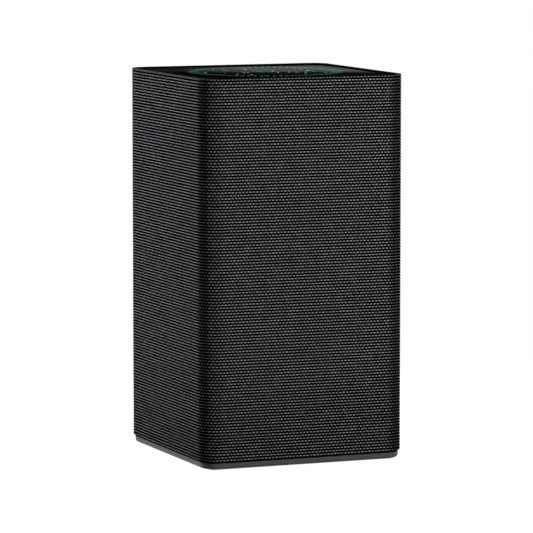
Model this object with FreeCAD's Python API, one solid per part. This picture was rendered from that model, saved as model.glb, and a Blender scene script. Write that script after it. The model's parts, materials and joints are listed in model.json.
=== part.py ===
"""Mesh wifi node: a fabric-covered square tower on a low plinth, with a lit gloss lid.

Sizes are in millimetres. X runs left to right seen from the front, Y from front to back, Z up.
The origin is the middle of the footprint, on the surface that the rubber feet stand on.
Each piece is built by its own function and written to parts/ under its own name.
"""
import FreeCAD
import Part
import math
import os

V = FreeCAD.Vector
UP = V(0, 0, 1)
BACKWARD = V(0, 1, 0)

# ---------------------------------------------------------------- driving sizes: the tower
body_width = 112.0
body_depth = 112.0
body_height = 200.0
corner_radius = 9.1
fabric_thickness = 1.3
hem_gap = 0.8
shell_wall = 2.2
fit_gap = 0.2

# the plinth under the fabric, and the feet under the plinth
plinth_inset = 1.15
plinth_height = 3.0
plinth_floor = 2.0
plinth_edge_round = 1.2
spigot_height = 3.0
spigot_wall = 1.8
foot_radius = 5.5
foot_thickness = 1.4
foot_proud = 0.6
foot_edge_round = 0.3
corner_screw_inset = 10.5
corner_block_size = 11.5
corner_block_height = 5.5
base_screw_radius = 1.5
base_screw_head_radius = 2.8
base_screw_sink = 3.0
label_width = 44.0
label_depth = 28.0
label_thickness = 0.25
label_recess = 0.3
label_corner_radius = 1.0
label_offset = -22.0
vent_count = 11
vent_pitch = 6.0
vent_width = 2.6
vent_length = 36.0
vent_offset = 18.0

# the rim round the lid
rim_width = 1.3
rim_edge_round = 0.3
rim_ledge_thickness = 2.0
rim_skirt_depth = 3.0
rim_skirt_wall = 1.8

# the gloss lid, its light rays and its air holes
cover_recess = 0.5
cover_thickness = 1.8
ray_margin = 12.4
ray_count = 72
ray_length = 6.0
ray_width = 1.3
inner_ray_count = 12
inner_ray_radius = 6.0
inner_ray_length = 2.8
inner_ray_width = 1.1
tooth_gap = 0.05
air_hole_radius = 0.9
air_hole_pitch = 3.7
light_ring_thickness = 2.2
light_ring_border = 0.8

# the light board under the lid
led_size = 2.2
led_height = 0.8
led_count = 16
inner_led_count = 4
led_headroom = 2.5
led_board_thickness = 1.6
led_board_spoke = 6.0
led_board_corner_radius = 4.0
led_screw_radius = 1.0
led_screw_head_radius = 1.9
led_screw_grip = 2.0
post_radius = 3.0
post_edge_distance = 4.0

# ---------------------------------------------------------------- driving sizes: the inside
deck_thickness = 3.0
lower_deck_gap = 1.1
deck_opening_border = 17.0
deck_corner_radius = 4.0
upright_width = 11.0
upright_depth = 6.0
upright_wall_gap = 1.0

fan_size = 80.0
fan_height = 15.0
fan_headroom = 4.0
fan_hole_inset = 4.25
fan_bore_wall = 1.6
fan_corner_radius = 4.0
fan_tip_gap = 1.0
fan_hub_radius = 17.0
fan_hub_wall = 1.8
fan_hub_lift = 3.0
fan_hub_height = 11.0
fan_blade_count = 9
fan_blade_chord = 20.0
fan_blade_thickness = 1.2
fan_blade_angle = 40.0
fan_strut_width = 3.0
fan_base_thickness = 2.0
fan_shaft_radius = 1.5
fan_shaft_play = 0.03
fan_bearing_radius = 3.5
fan_bearing_length = 7.8
fan_tube_wall = 1.4
fan_stator_radius = 13.2
fan_stator_height = 6.0
fan_stator_slot = 2.4
fan_stator_hub = 2.0
fan_screw_radius = 2.0
fan_screw_head_radius = 3.4
press_gap = 0.05

board_thickness = 1.6
board_bottom = 18.0
board_top_gap = 19.0
board_side_gap = 6.5
board_screw_radius = 1.25
board_screw_head_radius = 2.3
board_screw_edge = 3.0
board_screw_end = 5.0
board_screw_rows = 3
chip_height = 1.2
thermal_pad_thickness = 1.0
processor_size = 20.0
radio_chip_size = 14.0
memory_chip_width = 9.0
memory_chip_length = 12.0
chip_round = 0.3
chip_side_gap = 4.5
chip_row_share = 0.295

sink_base = 3.0
sink_end_gap = 12.0
sink_fin_count = 13
sink_fin_thickness = 1.4
sink_fin_height = 22.0
sink_post_radius = 3.0
sink_post_inset = 5.0

# ---------------------------------------------------------------- driving sizes: the rear ports
panel_recess = 0.6
panel_thickness = 2.0
panel_bottom = 17.7
panel_bottom_margin = 3.8
panel_top_margin = 5.5
panel_side_margin = 2.2
panel_corner_radius = 2.5
panel_wall = 1.4
panel_lip = 1.2
panel_lip_thickness = 1.6
port_gap = 0.15
port_setback = 0.2

jack_count = 4
jack_width = 15.6
jack_gap = 1.4
jack_height = 13.4
jack_depth = 18.0
port_row_gap = 7.3
port_round = 0.4
socket_width = 11.9
socket_height = 8.2
socket_depth = 13.0
socket_bottom_wall = 2.5
latch_width = 6.2
latch_depth = 2.0
contact_count = 8
contact_pitch = 1.02
contact_thickness = 0.46
contact_length = 8.5
contact_slope = 8.0

power_jack_x = 26.0
power_button_x = 10.0
reset_x = -8.0
sync_button_x = -24.0
power_jack_width = 10.0
power_jack_height = 11.0
power_nose_radius = 4.2
power_bore_radius = 2.85
power_bore_depth = 9.5
power_pin_radius = 1.05
power_pin_setback = 1.0

button_proud = 0.5
button_gap = 0.2
button_flange = 1.0
button_flange_thickness = 1.3
power_button_size = 7.4
power_button_round = 1.2
power_stem_size = 3.0
power_stem_reach = 5.0
power_travel = 1.5
power_switch_size = 8.6
power_switch_depth = 10.0
sync_button_radius = 4.0
sync_stem_radius = 2.0
sync_travel = 0.6
tact_switch_size = 6.0
tact_switch_depth = 4.0
tact_plunger_radius = 1.6
tact_plunger_sink = 1.6
tact_plunger_proud = 1.0
reset_travel = 0.3
reset_plunger_length = 10.5
pinhole_radius = 1.0

# ---------------------------------------------------------------- driving sizes: antennas and leads
antenna_width = 10.0
antenna_length = 46.0
antenna_thickness = 0.8
antenna_top_gap = 10.0
antenna_pitch = 12.5
antennas_per_side = 2
coax_lane = 7.0
coax_radius = 0.6
coax_overlap = 5.0
coax_drop = 18.0
coax_drop_step = 9.0
coax_bend = 6.0
coax_wall_run = 12.0
coax_end_run = 14.0
coax_socket_radius = 1.4
coax_socket_height = 1.5
lead_radius = 0.9
lead_bend = 5.5
lead_bend_room = 0.8
lead_line_share = 0.593
lead_hole_border = 1.5
connector_width = 11.0
connector_height = 6.0
connector_depth = 3.5
connector_drop = 5.0
fan_lead_x = 22.0
ribbon_x = -22.0
ribbon_width = 8.0
ribbon_thickness = 0.3
ribbon_bend = 2.0
capacitor_radius = 4.0
capacitor_height = 11.0
capacitor_pitch = 10.0
capacitor_row_height = 18.0
screw_head_height = 2.0
screw_cross_width = 0.6
screw_thread_gap = 0.02
screw_clearance = 0.15

# ---------------------------------------------------------------- places worked out from the sizes
shell_inset = fabric_thickness
inside_inset = shell_inset + shell_wall
inside_half_width = body_width / 2 - inside_inset
inside_half_depth = body_depth / 2 - inside_inset

plinth_top = foot_proud + plinth_height
foot_top = foot_thickness
screw_seat = foot_top + base_screw_sink
lower_deck_height = plinth_top + spigot_height + lower_deck_gap
lower_deck_top = lower_deck_height + deck_thickness
corner_screw_x = body_width / 2 - corner_screw_inset
corner_screw_y = body_depth / 2 - corner_screw_inset

fabric_bottom = plinth_top + hem_gap
cover_top = body_height - cover_recess
cover_bottom = cover_top - cover_thickness
shell_top = cover_bottom - rim_ledge_thickness
rim_opening_inset = shell_inset + rim_width
ray_outer_radius = min(body_width, body_depth) / 2 - rim_opening_inset - fit_gap - ray_margin
ray_inner_radius = ray_outer_radius - ray_length

light_ring_bottom = cover_bottom - light_ring_thickness
led_board_top = light_ring_bottom - led_headroom
led_board_bottom = led_board_top - led_board_thickness
led_board_half = ray_outer_radius
post_offset = led_board_half - post_edge_distance
fan_bore_radius = fan_size / 2 - fan_bore_wall
fan_top = led_board_bottom - fan_headroom
fan_bottom = fan_top - fan_height
upper_deck_bottom = fan_bottom - deck_thickness
fan_rotor_bottom = fan_bottom + fan_hub_lift
fan_rotor_top = fan_rotor_bottom + fan_hub_height

panel_face = body_depth / 2 - panel_recess
panel_back = panel_face - panel_thickness
panel_lip_back = inside_half_depth - panel_lip_thickness
jack_pitch = jack_width + jack_gap
panel_width = jack_count * jack_pitch + 2 * panel_side_margin
jack_row = panel_bottom + panel_bottom_margin + jack_height / 2
row_gap_middle = jack_row + jack_height / 2 + port_row_gap / 2
button_row = row_gap_middle + port_row_gap / 2 + power_jack_height / 2
panel_top = button_row + power_jack_height / 2 + panel_top_margin
panel_height = panel_top - panel_bottom
panel_middle = (panel_bottom + panel_top) / 2
port_face = panel_face - port_setback
board_back = port_face - jack_depth
board_front = board_back - board_thickness
board_half_width = inside_half_width - board_side_gap
board_top = upper_deck_bottom - board_top_gap
socket_floor = jack_row - jack_height / 2 + socket_bottom_wall
upright_inside = inside_half_width - upright_wall_gap - upright_width
board_screw_x = board_half_width - board_screw_edge
board_screw_low = row_gap_middle
board_screw_high = board_top - board_screw_end

chip_face = board_front - chip_height
sink_back = chip_face - thermal_pad_thickness
sink_front = sink_back - sink_base
sink_half_width = upright_inside - coax_lane
sink_low_post = row_gap_middle
sink_bottom = sink_low_post - sink_post_inset
sink_top = board_top - sink_end_gap
sink_high_post = sink_top - sink_post_inset
sink_post_x = sink_half_width - sink_post_inset
chip_column = sink_half_width - chip_side_gap - radio_chip_size / 2
chip_middle_row = (sink_bottom + sink_top) / 2
chip_row_end = sink_low_post + sink_post_radius + radio_chip_size / 2
chip_row_room = chip_middle_row - (processor_size + radio_chip_size) / 2 - chip_row_end
chip_low_row = chip_row_end + chip_row_share * chip_row_room
chip_high_row = 2 * chip_middle_row - chip_low_row
button_face = panel_face + button_proud
button_shoulder = panel_back - button_gap
antenna_top = upper_deck_bottom - antenna_top_gap
antenna_bottom = antenna_top - antenna_length
coax_socket_face = board_front - coax_socket_height
coax_socket_x = upright_inside - coax_lane / 2
coax_wall_x = inside_half_width - antenna_thickness - coax_radius
coax_turn_end = coax_socket_face - coax_end_run
coax_turn_start = coax_turn_end - (coax_wall_x - coax_socket_x)
antenna_rear_row = coax_turn_start - coax_wall_run
connector_face = board_back + connector_depth
lead_room_start = max(fan_size / 2, connector_face)
lead_line = lead_room_start + lead_line_share * (inside_half_depth - lead_room_start)
connector_middle = board_top - connector_drop


# ---------------------------------------------------------------- shapes used by many pieces
def block(low, high):
    """A box between two opposite corners, each given as (x, y, z)."""
    size = [end - start for start, end in zip(low, high)]
    return Part.makeBox(size[0], size[1], size[2], V(*low))


def rounded_wire(width, depth, radius, height=0.0):
    """A level rectangle with round corners, about the Z axis."""
    half_x = width / 2
    half_y = depth / 2
    arc_sink = radius * (1 - math.sqrt(0.5))
    edges = []
    for turn in range(4):
        reach, side = (half_x, half_y) if turn % 2 == 0 else (half_y, half_x)
        start = V(reach, -side + radius, height)
        end = V(reach, side - radius, height)
        arc_middle = V(reach - arc_sink, side - arc_sink, height)
        sides = [Part.Arc(end, arc_middle, V(reach - radius, side, height)).toShape()]
        if side > radius:
            sides.insert(0, Part.LineSegment(start, end).toShape())
        for edge in sides:
            edge.rotate(V(0, 0, 0), UP, 90 * turn)
            edges.append(edge)
    return Part.Wire(edges)


def rounded_block(width, depth, radius, bottom, top):
    """A rectangular block with round upright corners, about the Z axis."""
    face = Part.Face(rounded_wire(width, depth, radius, bottom))
    return face.extrude(V(0, 0, top - bottom))


def slab(inset, bottom, top):
    """A slice of the tower's outline, moved inwards by inset all round."""
    return rounded_block(body_width - 2 * inset, body_depth - 2 * inset, corner_radius - inset, bottom, top)


def rear_block(width, height, radius, back, face, x, z):
    """A rounded block whose depth runs along Y, centred at (x, z)."""
    shape = rounded_block(width, height, radius, back, face)
    shape.rotate(V(0, 0, 0), V(1, 0, 0), -90)
    shape.translate(V(x, 0, z))
    return shape


def upright_rod(radius, x, y, bottom, top):
    """A round rod standing along Z."""
    return Part.makeCylinder(radius, top - bottom, V(x, y, bottom), UP)


def rear_rod(radius, x, z, back, face):
    """A round rod lying along Y."""
    return Part.makeCylinder(radius, face - back, V(x, back, z), BACKWARD)


def ring(inner_radius, outer_radius, bottom, top):
    """A flat round ring about the Z axis."""
    outside = upright_rod(outer_radius, 0, 0, bottom, top)
    return outside.cut(upright_rod(inner_radius, 0, 0, bottom, top))


def corners(x, y):
    """The four places at plus and minus x and y."""
    return [(side_x * x, side_y * y) for side_x in (-1, 1) for side_y in (-1, 1)]


def turned(shape, angle):
    """A copy of the shape turned about the Z axis."""
    copy = shape.copy()
    copy.rotate(V(0, 0, 0), UP, angle)
    return copy


def edges_at(shape, height):
    """The edges that lie wholly at one height."""
    found = []
    for edge in shape.Edges:
        bounds = edge.BoundBox
        if abs(bounds.ZMin - height) < 1e-6 and abs(bounds.ZMax - height) < 1e-6:
            found.append(edge)
    return found


def ray_wire(inner_radius, outer_radius, width, angle, height):
    """The outline of one round-ended slot that points away from the Z axis."""
    half = width / 2
    inner = inner_radius + half
    outer = outer_radius - half
    edges = [
        Part.LineSegment(V(inner, -half, height), V(outer, -half, height)).toShape(),
        Part.Arc(V(outer, -half, height), V(outer_radius, 0, height), V(outer, half, height)).toShape(),
        Part.LineSegment(V(outer, half, height), V(inner, half, height)).toShape(),
        Part.Arc(V(inner, half, height), V(inner_radius, 0, height), V(inner, -half, height)).toShape(),
    ]
    wire = Part.Wire(edges)
    wire.rotate(V(0, 0, 0), UP, angle)
    return wire


def ray_wires(count, inner_radius, outer_radius, width, height):
    """A full circle of ray outlines."""
    angles = [360 * index / count for index in range(count)]
    return [ray_wire(inner_radius, outer_radius, width, angle, height) for angle in angles]


def tube_along(points, bends, radius):
    """A round lead: straight runs between the points, joined by tangent arcs.

    bends holds one arc radius for each inner point.
    """
    edges = []
    start = points[0]
    for index, bend in enumerate(bends, 1):
        before = (points[index - 1] - points[index]).normalize()
        after = (points[index + 1] - points[index]).normalize()
        half_turn = (math.pi - before.getAngle(after)) / 2
        reach = bend * math.tan(half_turn)
        arc_start = points[index] + before * reach
        arc_end = points[index] + after * reach
        inward = (before + after).normalize()
        arc_middle = points[index] + inward * (bend / math.cos(half_turn) - bend)
        edges.append(Part.LineSegment(start, arc_start).toShape())
        edges.append(Part.Arc(arc_start, arc_middle, arc_end).toShape())
        start = arc_end
    edges.append(Part.LineSegment(start, points[-1]).toShape())
    path = Part.Wire(edges)
    section = Part.Wire(Part.Circle(points[0], points[1] - points[0], radius).toShape())
    return path.makePipeShell([section], True, False)


def screw(shank_radius, head_radius, shank_length):
    """A pan-head screw on the Z axis: its head's bearing face is at the origin, its shank points up."""
    head = upright_rod(head_radius, 0, 0, -screw_head_height, 0)
    head = head.makeFillet(screw_head_height / 4, edges_at(head, -screw_head_height))
    recess = block((-head_radius / 2, -screw_cross_width / 2, -screw_head_height),
                   (head_radius / 2, screw_cross_width / 2, -screw_head_height / 2))
    recess = recess.fuse(turned(recess, 90))
    return head.fuse(upright_rod(shank_radius, 0, 0, 0, shank_length)).cut(recess)


def placed_screws(pattern, places, direction):
    """Copies of a screw that start at the places and point along the direction."""
    copies = []
    for place in places:
        copy = pattern.copy()
        copy.Placement = FreeCAD.Placement(V(*place), FreeCAD.Rotation(UP, direction))
        copies.append(copy)
    return Part.makeCompound(copies)


# ---------------------------------------------------------------- housing
def rear_window(gap):
    """The hole for the port panel in the fabric and in the shell's rear wall."""
    return rear_block(panel_width + 2 * gap, panel_height + 2 * gap, panel_corner_radius + gap,
                      panel_lip_back, body_depth, 0, panel_middle)


def fabric_sleeve():
    """The knitted cloth tube that is stretched over the shell."""
    tube = slab(0, fabric_bottom, body_height).cut(slab(fabric_thickness, fabric_bottom, body_height))
    return tube.cut(rear_window(fit_gap))


def housing_shell():
    """The plastic tube under the cloth, with a screw block in each bottom corner."""
    tube = slab(shell_inset, plinth_top, shell_top).cut(slab(inside_inset, plinth_top, shell_top))
    block_top = lower_deck_top + corner_block_height
    filling = slab(inside_inset, lower_deck_top, block_top)
    for x, y in corners(body_width / 2, body_depth / 2):
        reach_x = math.copysign(inside_half_width - corner_block_size, x)
        reach_y = math.copysign(inside_half_depth - corner_block_size, y)
        low = (min(x, reach_x), min(y, reach_y), lower_deck_top)
        high = (max(x, reach_x), max(y, reach_y), block_top)
        tube = tube.fuse(filling.common(block(low, high)))
    for x, y in corners(corner_screw_x, corner_screw_y):
        tube = tube.cut(upright_rod(base_screw_radius + screw_thread_gap, x, y, lower_deck_top, block_top))
    return tube.cut(rear_window(fit_gap)).removeSplitter()


def base_plinth():
    """The low tray that closes the tower from below and carries the feet."""
    body = slab(plinth_inset, foot_proud, plinth_top)
    body = body.makeFillet(plinth_edge_round, edges_at(body, foot_proud))
    spigot_inset = inside_inset + fit_gap
    body = body.fuse(slab(spigot_inset, plinth_top, plinth_top + spigot_height))
    hollow_top = plinth_top + spigot_height
    body = body.cut(slab(spigot_inset + spigot_wall, foot_proud + plinth_floor, hollow_top))
    for x, y in corners(corner_screw_x, corner_screw_y):
        body = body.fuse(upright_rod(foot_radius, x, y, foot_proud + plinth_floor, lower_deck_height))
    for x, y in corners(corner_screw_x, corner_screw_y):
        body = body.cut(upright_rod(foot_radius + fit_gap, x, y, 0, foot_top))
        body = body.cut(upright_rod(base_screw_head_radius + fit_gap, x, y, 0, screw_seat))
        body = body.cut(upright_rod(base_screw_radius + screw_clearance, x, y, 0, lower_deck_height))
    first_vent = -(vent_count - 1) / 2 * vent_pitch
    for index in range(vent_count):
        slot = rounded_block(vent_width, vent_length, vent_width / 2, 0, foot_proud + plinth_floor)
        slot.translate(V(first_vent + index * vent_pitch, vent_offset, 0))
        body = body.cut(slot)
    recess = rounded_block(label_width + fit_gap, label_depth + fit_gap, label_corner_radius,
                           0, foot_proud + label_recess)
    recess.translate(V(0, label_offset, 0))
    return body.cut(recess).removeSplitter()


def rubber_foot(x, y):
    """A round rubber pad, pressed into its recess over the corner screw."""
    pad = upright_rod(foot_radius, x, y, 0, foot_top)
    return pad.makeFillet(foot_edge_round, edges_at(pad, 0))


def rating_label():
    """A blank stick-on label in its shallow recess under the plinth."""
    label = rounded_block(label_width, label_depth, label_corner_radius, 0, label_thickness)
    label.translate(V(0, label_offset, foot_proud + label_recess - label_thickness))
    return label


def base_screws():
    """The four screws that pull the plinth and the chassis against the shell."""
    seat = [(x, y, screw_seat) for x, y in corners(corner_screw_x, corner_screw_y)]
    length = lower_deck_top + corner_block_height - screw_seat - 2 * fit_gap
    return placed_screws(screw(base_screw_radius, base_screw_head_radius, length), seat, UP)


def top_rim():
    """The thin frame inside the cloth's upper edge, which carries the lid."""
    wall = slab(shell_inset, shell_top, body_height)
    wall = wall.makeFillet(rim_edge_round, edges_at(wall, body_height))
    skirt_inset = inside_inset + fit_gap
    skirt_bottom = shell_top - rim_skirt_depth
    skirt = slab(skirt_inset, skirt_bottom, shell_top)
    opening = slab(rim_opening_inset, cover_bottom, body_height)
    bore = slab(skirt_inset + rim_skirt_wall, skirt_bottom, cover_bottom)
    return wall.fuse(skirt).cut(opening).cut(bore).removeSplitter()


def air_hole_wires(height):
    """Rings of small round air holes between the two circles of light rays."""
    wires = []
    first = inner_ray_radius + air_hole_pitch
    last = ray_inner_radius - air_hole_pitch / 2
    ring_count = max(1, int((last - first) / air_hole_pitch) + 1)
    for index in range(ring_count):
        radius = first + index * air_hole_pitch
        hole_count = int(2 * math.pi * radius / air_hole_pitch)
        for step in range(hole_count):
            angle = 2 * math.pi * (step + 0.5 * (index % 2)) / hole_count
            middle = V(radius * math.cos(angle), radius * math.sin(angle), height)
            wires.append(Part.Wire(Part.Circle(middle, UP, air_hole_radius).toShape()))
    return wires


def top_cover():
    """The gloss lid: a plate with two circles of ray slots, air holes and four posts below."""
    inset = rim_opening_inset + fit_gap
    outline = rounded_wire(body_width - 2 * inset, body_depth - 2 * inset,
                           corner_radius - inset, cover_bottom)
    wires = [outline]
    wires += ray_wires(ray_count, ray_inner_radius, ray_outer_radius, ray_width, cover_bottom)
    wires += ray_wires(inner_ray_count, inner_ray_radius - inner_ray_length, inner_ray_radius,
                       inner_ray_width, cover_bottom)
    wires += air_hole_wires(cover_bottom)
    plate = Part.makeFace(wires, "Part::FaceMakerBullseye").extrude(V(0, 0, cover_thickness))
    for x, y in corners(post_offset, post_offset):
        post = upright_rod(post_radius, x, y, led_board_top, cover_bottom)
        pilot = upright_rod(led_screw_radius + screw_thread_gap, x, y, led_board_top, cover_bottom)
        plate = plate.fuse(post.cut(pilot))
    return plate


def light_ring(count, outer_radius, length, width):
    """A clear ring under the lid, whose teeth fill one circle of ray slots up to the lid's face."""
    inner_radius = outer_radius - length
    body = ring(inner_radius - light_ring_border, outer_radius + light_ring_border,
                light_ring_bottom, cover_bottom)
    wires = ray_wires(count, inner_radius + tooth_gap, outer_radius - tooth_gap,
                      width - 2 * tooth_gap, cover_bottom)
    teeth = [Part.Face(wire).extrude(V(0, 0, cover_thickness)) for wire in wires]
    return body.fuse(teeth)


# ---------------------------------------------------------------- lights
def led_board():
    """The board that carries the lights, cut away between its rim and its hub for the air."""
    plate = rounded_block(2 * led_board_half, 2 * led_board_half, led_board_corner_radius,
                          led_board_bottom, led_board_top)
    hub_radius = inner_ray_radius + light_ring_border
    airway = ring(hub_radius, ray_inner_radius - light_ring_border, led_board_bottom, led_board_top)
    for turn in (0, 90):
        spoke = block((-led_board_half, -led_board_spoke / 2, led_board_bottom),
                      (led_board_half, led_board_spoke / 2, led_board_top))
        airway = airway.cut(turned(spoke, turn))
    plate = plate.cut(airway)
    hole_radius = led_screw_radius + screw_clearance
    for x, y in corners(post_offset, post_offset):
        plate = plate.cut(upright_rod(hole_radius, x, y, led_board_bottom, led_board_top))
    return plate


def leds():
    """Small square lights under both circles of rays."""
    half = led_size / 2
    lights = []
    outer = ray_outer_radius - ray_length / 2
    inner = inner_ray_radius - inner_ray_length / 2
    for count, radius in ((led_count, outer), (inner_led_count, inner)):
        light = block((radius - half, -half, led_board_top),
                      (radius + half, half, led_board_top + led_height))
        lights += [turned(light, 360 * (step + 0.5) / count) for step in range(count)]
    return Part.makeCompound(lights)


def led_board_screws():
    """The four small screws that hold the light board to the lid's posts."""
    places = [(x, y, led_board_bottom) for x, y in corners(post_offset, post_offset)]
    pattern = screw(led_screw_radius, led_screw_head_radius, led_board_thickness + led_screw_grip)
    return placed_screws(pattern, places, UP)


# ---------------------------------------------------------------- chassis and fan
def fan_screw_places(height):
    """The fan's four mounting holes, at one height."""
    reach = fan_size / 2 - fan_hole_inset
    return [(x, y, height) for x, y in corners(reach, reach)]


def chassis():
    """The moulded inner frame: a lower deck, two uprights for the board and an upper deck for the fan."""
    inset = inside_inset + fit_gap
    lower = slab(inset, lower_deck_height, lower_deck_top)
    opening = rounded_block(body_width - 2 * (inset + deck_opening_border),
                            body_depth - 2 * (inset + deck_opening_border),
                            deck_corner_radius, lower_deck_height, lower_deck_top)
    lower = lower.cut(opening)
    hole_radius = base_screw_radius + screw_clearance
    for x, y in corners(corner_screw_x, corner_screw_y):
        lower = lower.cut(upright_rod(hole_radius, x, y, lower_deck_height, lower_deck_top))
    upper = slab(inset, upper_deck_bottom, fan_bottom)
    upper = upper.cut(upright_rod(fan_bore_radius, 0, 0, upper_deck_bottom, fan_bottom))
    for x, y, height in fan_screw_places(fan_bottom):
        upper = upper.cut(upright_rod(fan_screw_radius + screw_thread_gap, x, y, upper_deck_bottom, height))
    for x, width in ((fan_lead_x, 2 * lead_radius), (ribbon_x, ribbon_width)):
        half = width / 2 + lead_hole_border
        upper = upper.cut(block((x - half, lead_line - lead_radius - lead_hole_border, upper_deck_bottom),
                                (x + half, lead_line + lead_radius + lead_hole_border, fan_bottom)))
    frame = lower.fuse(upper)
    for side in (-1, 1):
        ends = sorted((side * upright_inside, side * (upright_inside + upright_width)))
        upright = block((ends[0], board_front - upright_depth, lower_deck_top),
                        (ends[1], board_front, upper_deck_bottom))
        frame = frame.fuse(upright)
    for x, height in board_screw_places():
        frame = frame.cut(rear_rod(board_screw_radius + screw_thread_gap, x, height,
                                   board_front - upright_depth, board_front))
    return frame.removeSplitter()


def fan_frame():
    """The fan's square housing, with four struts that carry the motor base and its bearing tube."""
    frame = rounded_block(fan_size, fan_size, fan_corner_radius, fan_bottom, fan_top)
    frame = frame.cut(upright_rod(fan_bore_radius, 0, 0, fan_bottom, fan_top))
    for x, y, height in fan_screw_places(fan_bottom):
        frame = frame.cut(upright_rod(fan_screw_radius + screw_clearance, x, y, height, fan_top))
    base_top = fan_bottom + fan_base_thickness
    for turn in (45, 135):
        strut = block((-fan_size / 2, -fan_strut_width / 2, fan_bottom),
                      (fan_size / 2, fan_strut_width / 2, base_top))
        frame = frame.fuse(turned(strut, turn))
    frame = frame.fuse(upright_rod(fan_hub_radius, 0, 0, fan_bottom, base_top))
    tube_top = base_top + fan_bearing_length
    tube = ring(fan_bearing_radius, fan_bearing_radius + fan_tube_wall, base_top, tube_top)
    return frame.fuse(tube).removeSplitter()


def fan_bearing():
    """The sleeve bearing in the motor base's tube."""
    base_top = fan_bottom + fan_base_thickness
    return ring(fan_shaft_radius + fan_shaft_play, fan_bearing_radius - press_gap,
                base_top, base_top + fan_bearing_length)


def fan_stator():
    """The motor's wound core: a hub with four broad poles, round the bearing tube."""
    bottom = fan_bottom + fan_base_thickness
    top = bottom + fan_stator_height
    inner = fan_bearing_radius + fan_tube_wall + press_gap
    core = ring(inner, fan_stator_radius, bottom, top)
    for step in range(4):
        slot = block((inner + fan_stator_hub, -fan_stator_slot / 2, bottom),
                     (fan_hub_radius, fan_stator_slot / 2, top))
        core = core.cut(turned(slot, 90 * step + 45))
    return core


def fan_rotor():
    """The hub, its shaft and its twisted blades, in one moulding."""
    hub_ceiling = fan_rotor_top - fan_hub_wall
    hub = upright_rod(fan_hub_radius, 0, 0, fan_rotor_bottom, fan_rotor_top)
    hub = hub.cut(upright_rod(fan_hub_radius - fan_hub_wall, 0, 0, fan_rotor_bottom, hub_ceiling))
    shaft_bottom = fan_bottom + fan_base_thickness + fit_gap
    hub = hub.fuse(upright_rod(fan_shaft_radius, 0, 0, shaft_bottom, hub_ceiling))
    root = fan_hub_radius - fan_hub_wall / 2
    blade = block((root - fan_hub_wall, -fan_blade_chord / 2, -fan_blade_thickness / 2),
                  (fan_bore_radius, fan_blade_chord / 2, fan_blade_thickness / 2))
    blade.rotate(V(0, 0, 0), V(1, 0, 0), fan_blade_angle)
    blade.translate(V(0, 0, (fan_rotor_bottom + fan_rotor_top) / 2))
    swept = ring(root, fan_bore_radius - fan_tip_gap, fan_rotor_bottom, fan_rotor_top)
    blade = blade.common(swept)
    blades = [turned(blade, 360 * step / fan_blade_count) for step in range(fan_blade_count)]
    return hub.fuse(blades)


def fan_screws():
    """The four screws through the fan's corners into the upper deck."""
    pattern = screw(fan_screw_radius, fan_screw_head_radius, fan_height + deck_thickness)
    return placed_screws(pattern, fan_screw_places(fan_top), V(0, 0, -1))


# ---------------------------------------------------------------- main board and cooling
def board_screw_places():
    """The board's screw holes along both uprights, as (x, z)."""
    step = (board_screw_high - board_screw_low) / (board_screw_rows - 1)
    heights = [board_screw_low + row * step for row in range(board_screw_rows)]
    return [(side * board_screw_x, height) for side in (-1, 1) for height in heights]


def sink_post_places():
    """The heatsink's four posts, as (x, z)."""
    return [(side * sink_post_x, height) for side in (-1, 1) for height in (sink_low_post, sink_high_post)]


def main_board():
    """The upright circuit board behind the port panel."""
    board = block((-board_half_width, board_front, board_bottom), (board_half_width, board_back, board_top))
    for x, height in board_screw_places():
        board = board.cut(rear_rod(board_screw_radius + screw_clearance, x, height, board_front, board_back))
    for x, height in sink_post_places():
        board = board.cut(rear_rod(board_screw_radius + screw_clearance, x, height, board_front, board_back))
    return board


def board_screws():
    """The screws that hold the board to the uprights."""
    pattern = screw(board_screw_radius, board_screw_head_radius, board_thickness + upright_depth)
    places = [(x, board_back, height) for x, height in board_screw_places()]
    return placed_screws(pattern, places, V(0, -1, 0))


def heatsink():
    """A cast plate on the board's front, with upright fins and four posts that meet the board."""
    body = block((-sink_half_width, sink_front, sink_bottom), (sink_half_width, sink_back, sink_top))
    pitch = (2 * sink_half_width - sink_fin_thickness) / (sink_fin_count - 1)
    for index in range(sink_fin_count):
        start = -sink_half_width + index * pitch
        fin = block((start, sink_front - sink_fin_height, sink_bottom),
                    (start + sink_fin_thickness, sink_front, sink_top))
        body = body.fuse(fin)
    for x, height in sink_post_places():
        body = body.fuse(rear_rod(sink_post_radius, x, height, sink_back, board_front))
        body = body.cut(rear_rod(board_screw_radius + screw_thread_gap, x, height, sink_front, board_front))
    return body.removeSplitter()


def heatsink_screws():
    """The screws through the board into the heatsink's posts."""
    length = board_thickness + chip_height + thermal_pad_thickness + sink_base / 2
    places = [(x, board_back, height) for x, height in sink_post_places()]
    return placed_screws(screw(board_screw_radius, board_screw_head_radius, length), places, V(0, -1, 0))


def chip(width, height, x, z):
    """A flat chip on the board's front face."""
    return rear_block(width, height, chip_round, chip_face, board_front, x, z)


def pad_on_chip(width, height, x, z):
    """A soft thermal pad between a chip and the heatsink."""
    return rear_block(width, height, chip_round, sink_back, chip_face, x, z)


radio_places = [(-chip_column, chip_low_row), (chip_column, chip_low_row), (0, chip_high_row)]


def memory_chips():
    """Two memory chips beside the upper radio chip and one between the lower two."""
    places = [(-chip_column, chip_high_row), (chip_column, chip_high_row), (0, chip_low_row)]
    return Part.makeCompound([chip(memory_chip_width, memory_chip_length, x, z) for x, z in places])


def capacitors():
    """Three round capacitors on the board's rear, above the port panel."""
    height = panel_top + capacitor_row_height
    face = board_back + capacitor_height
    return Part.makeCompound([
        rear_rod(capacitor_radius, column * capacitor_pitch, height, board_back, face)
        for column in (-1, 0, 1)
    ])


# ---------------------------------------------------------------- rear ports
def jack_x(index):
    """The middle of one network jack, counted from the left of the front view."""
    return (index - (jack_count - 1) / 2) * jack_pitch


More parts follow.
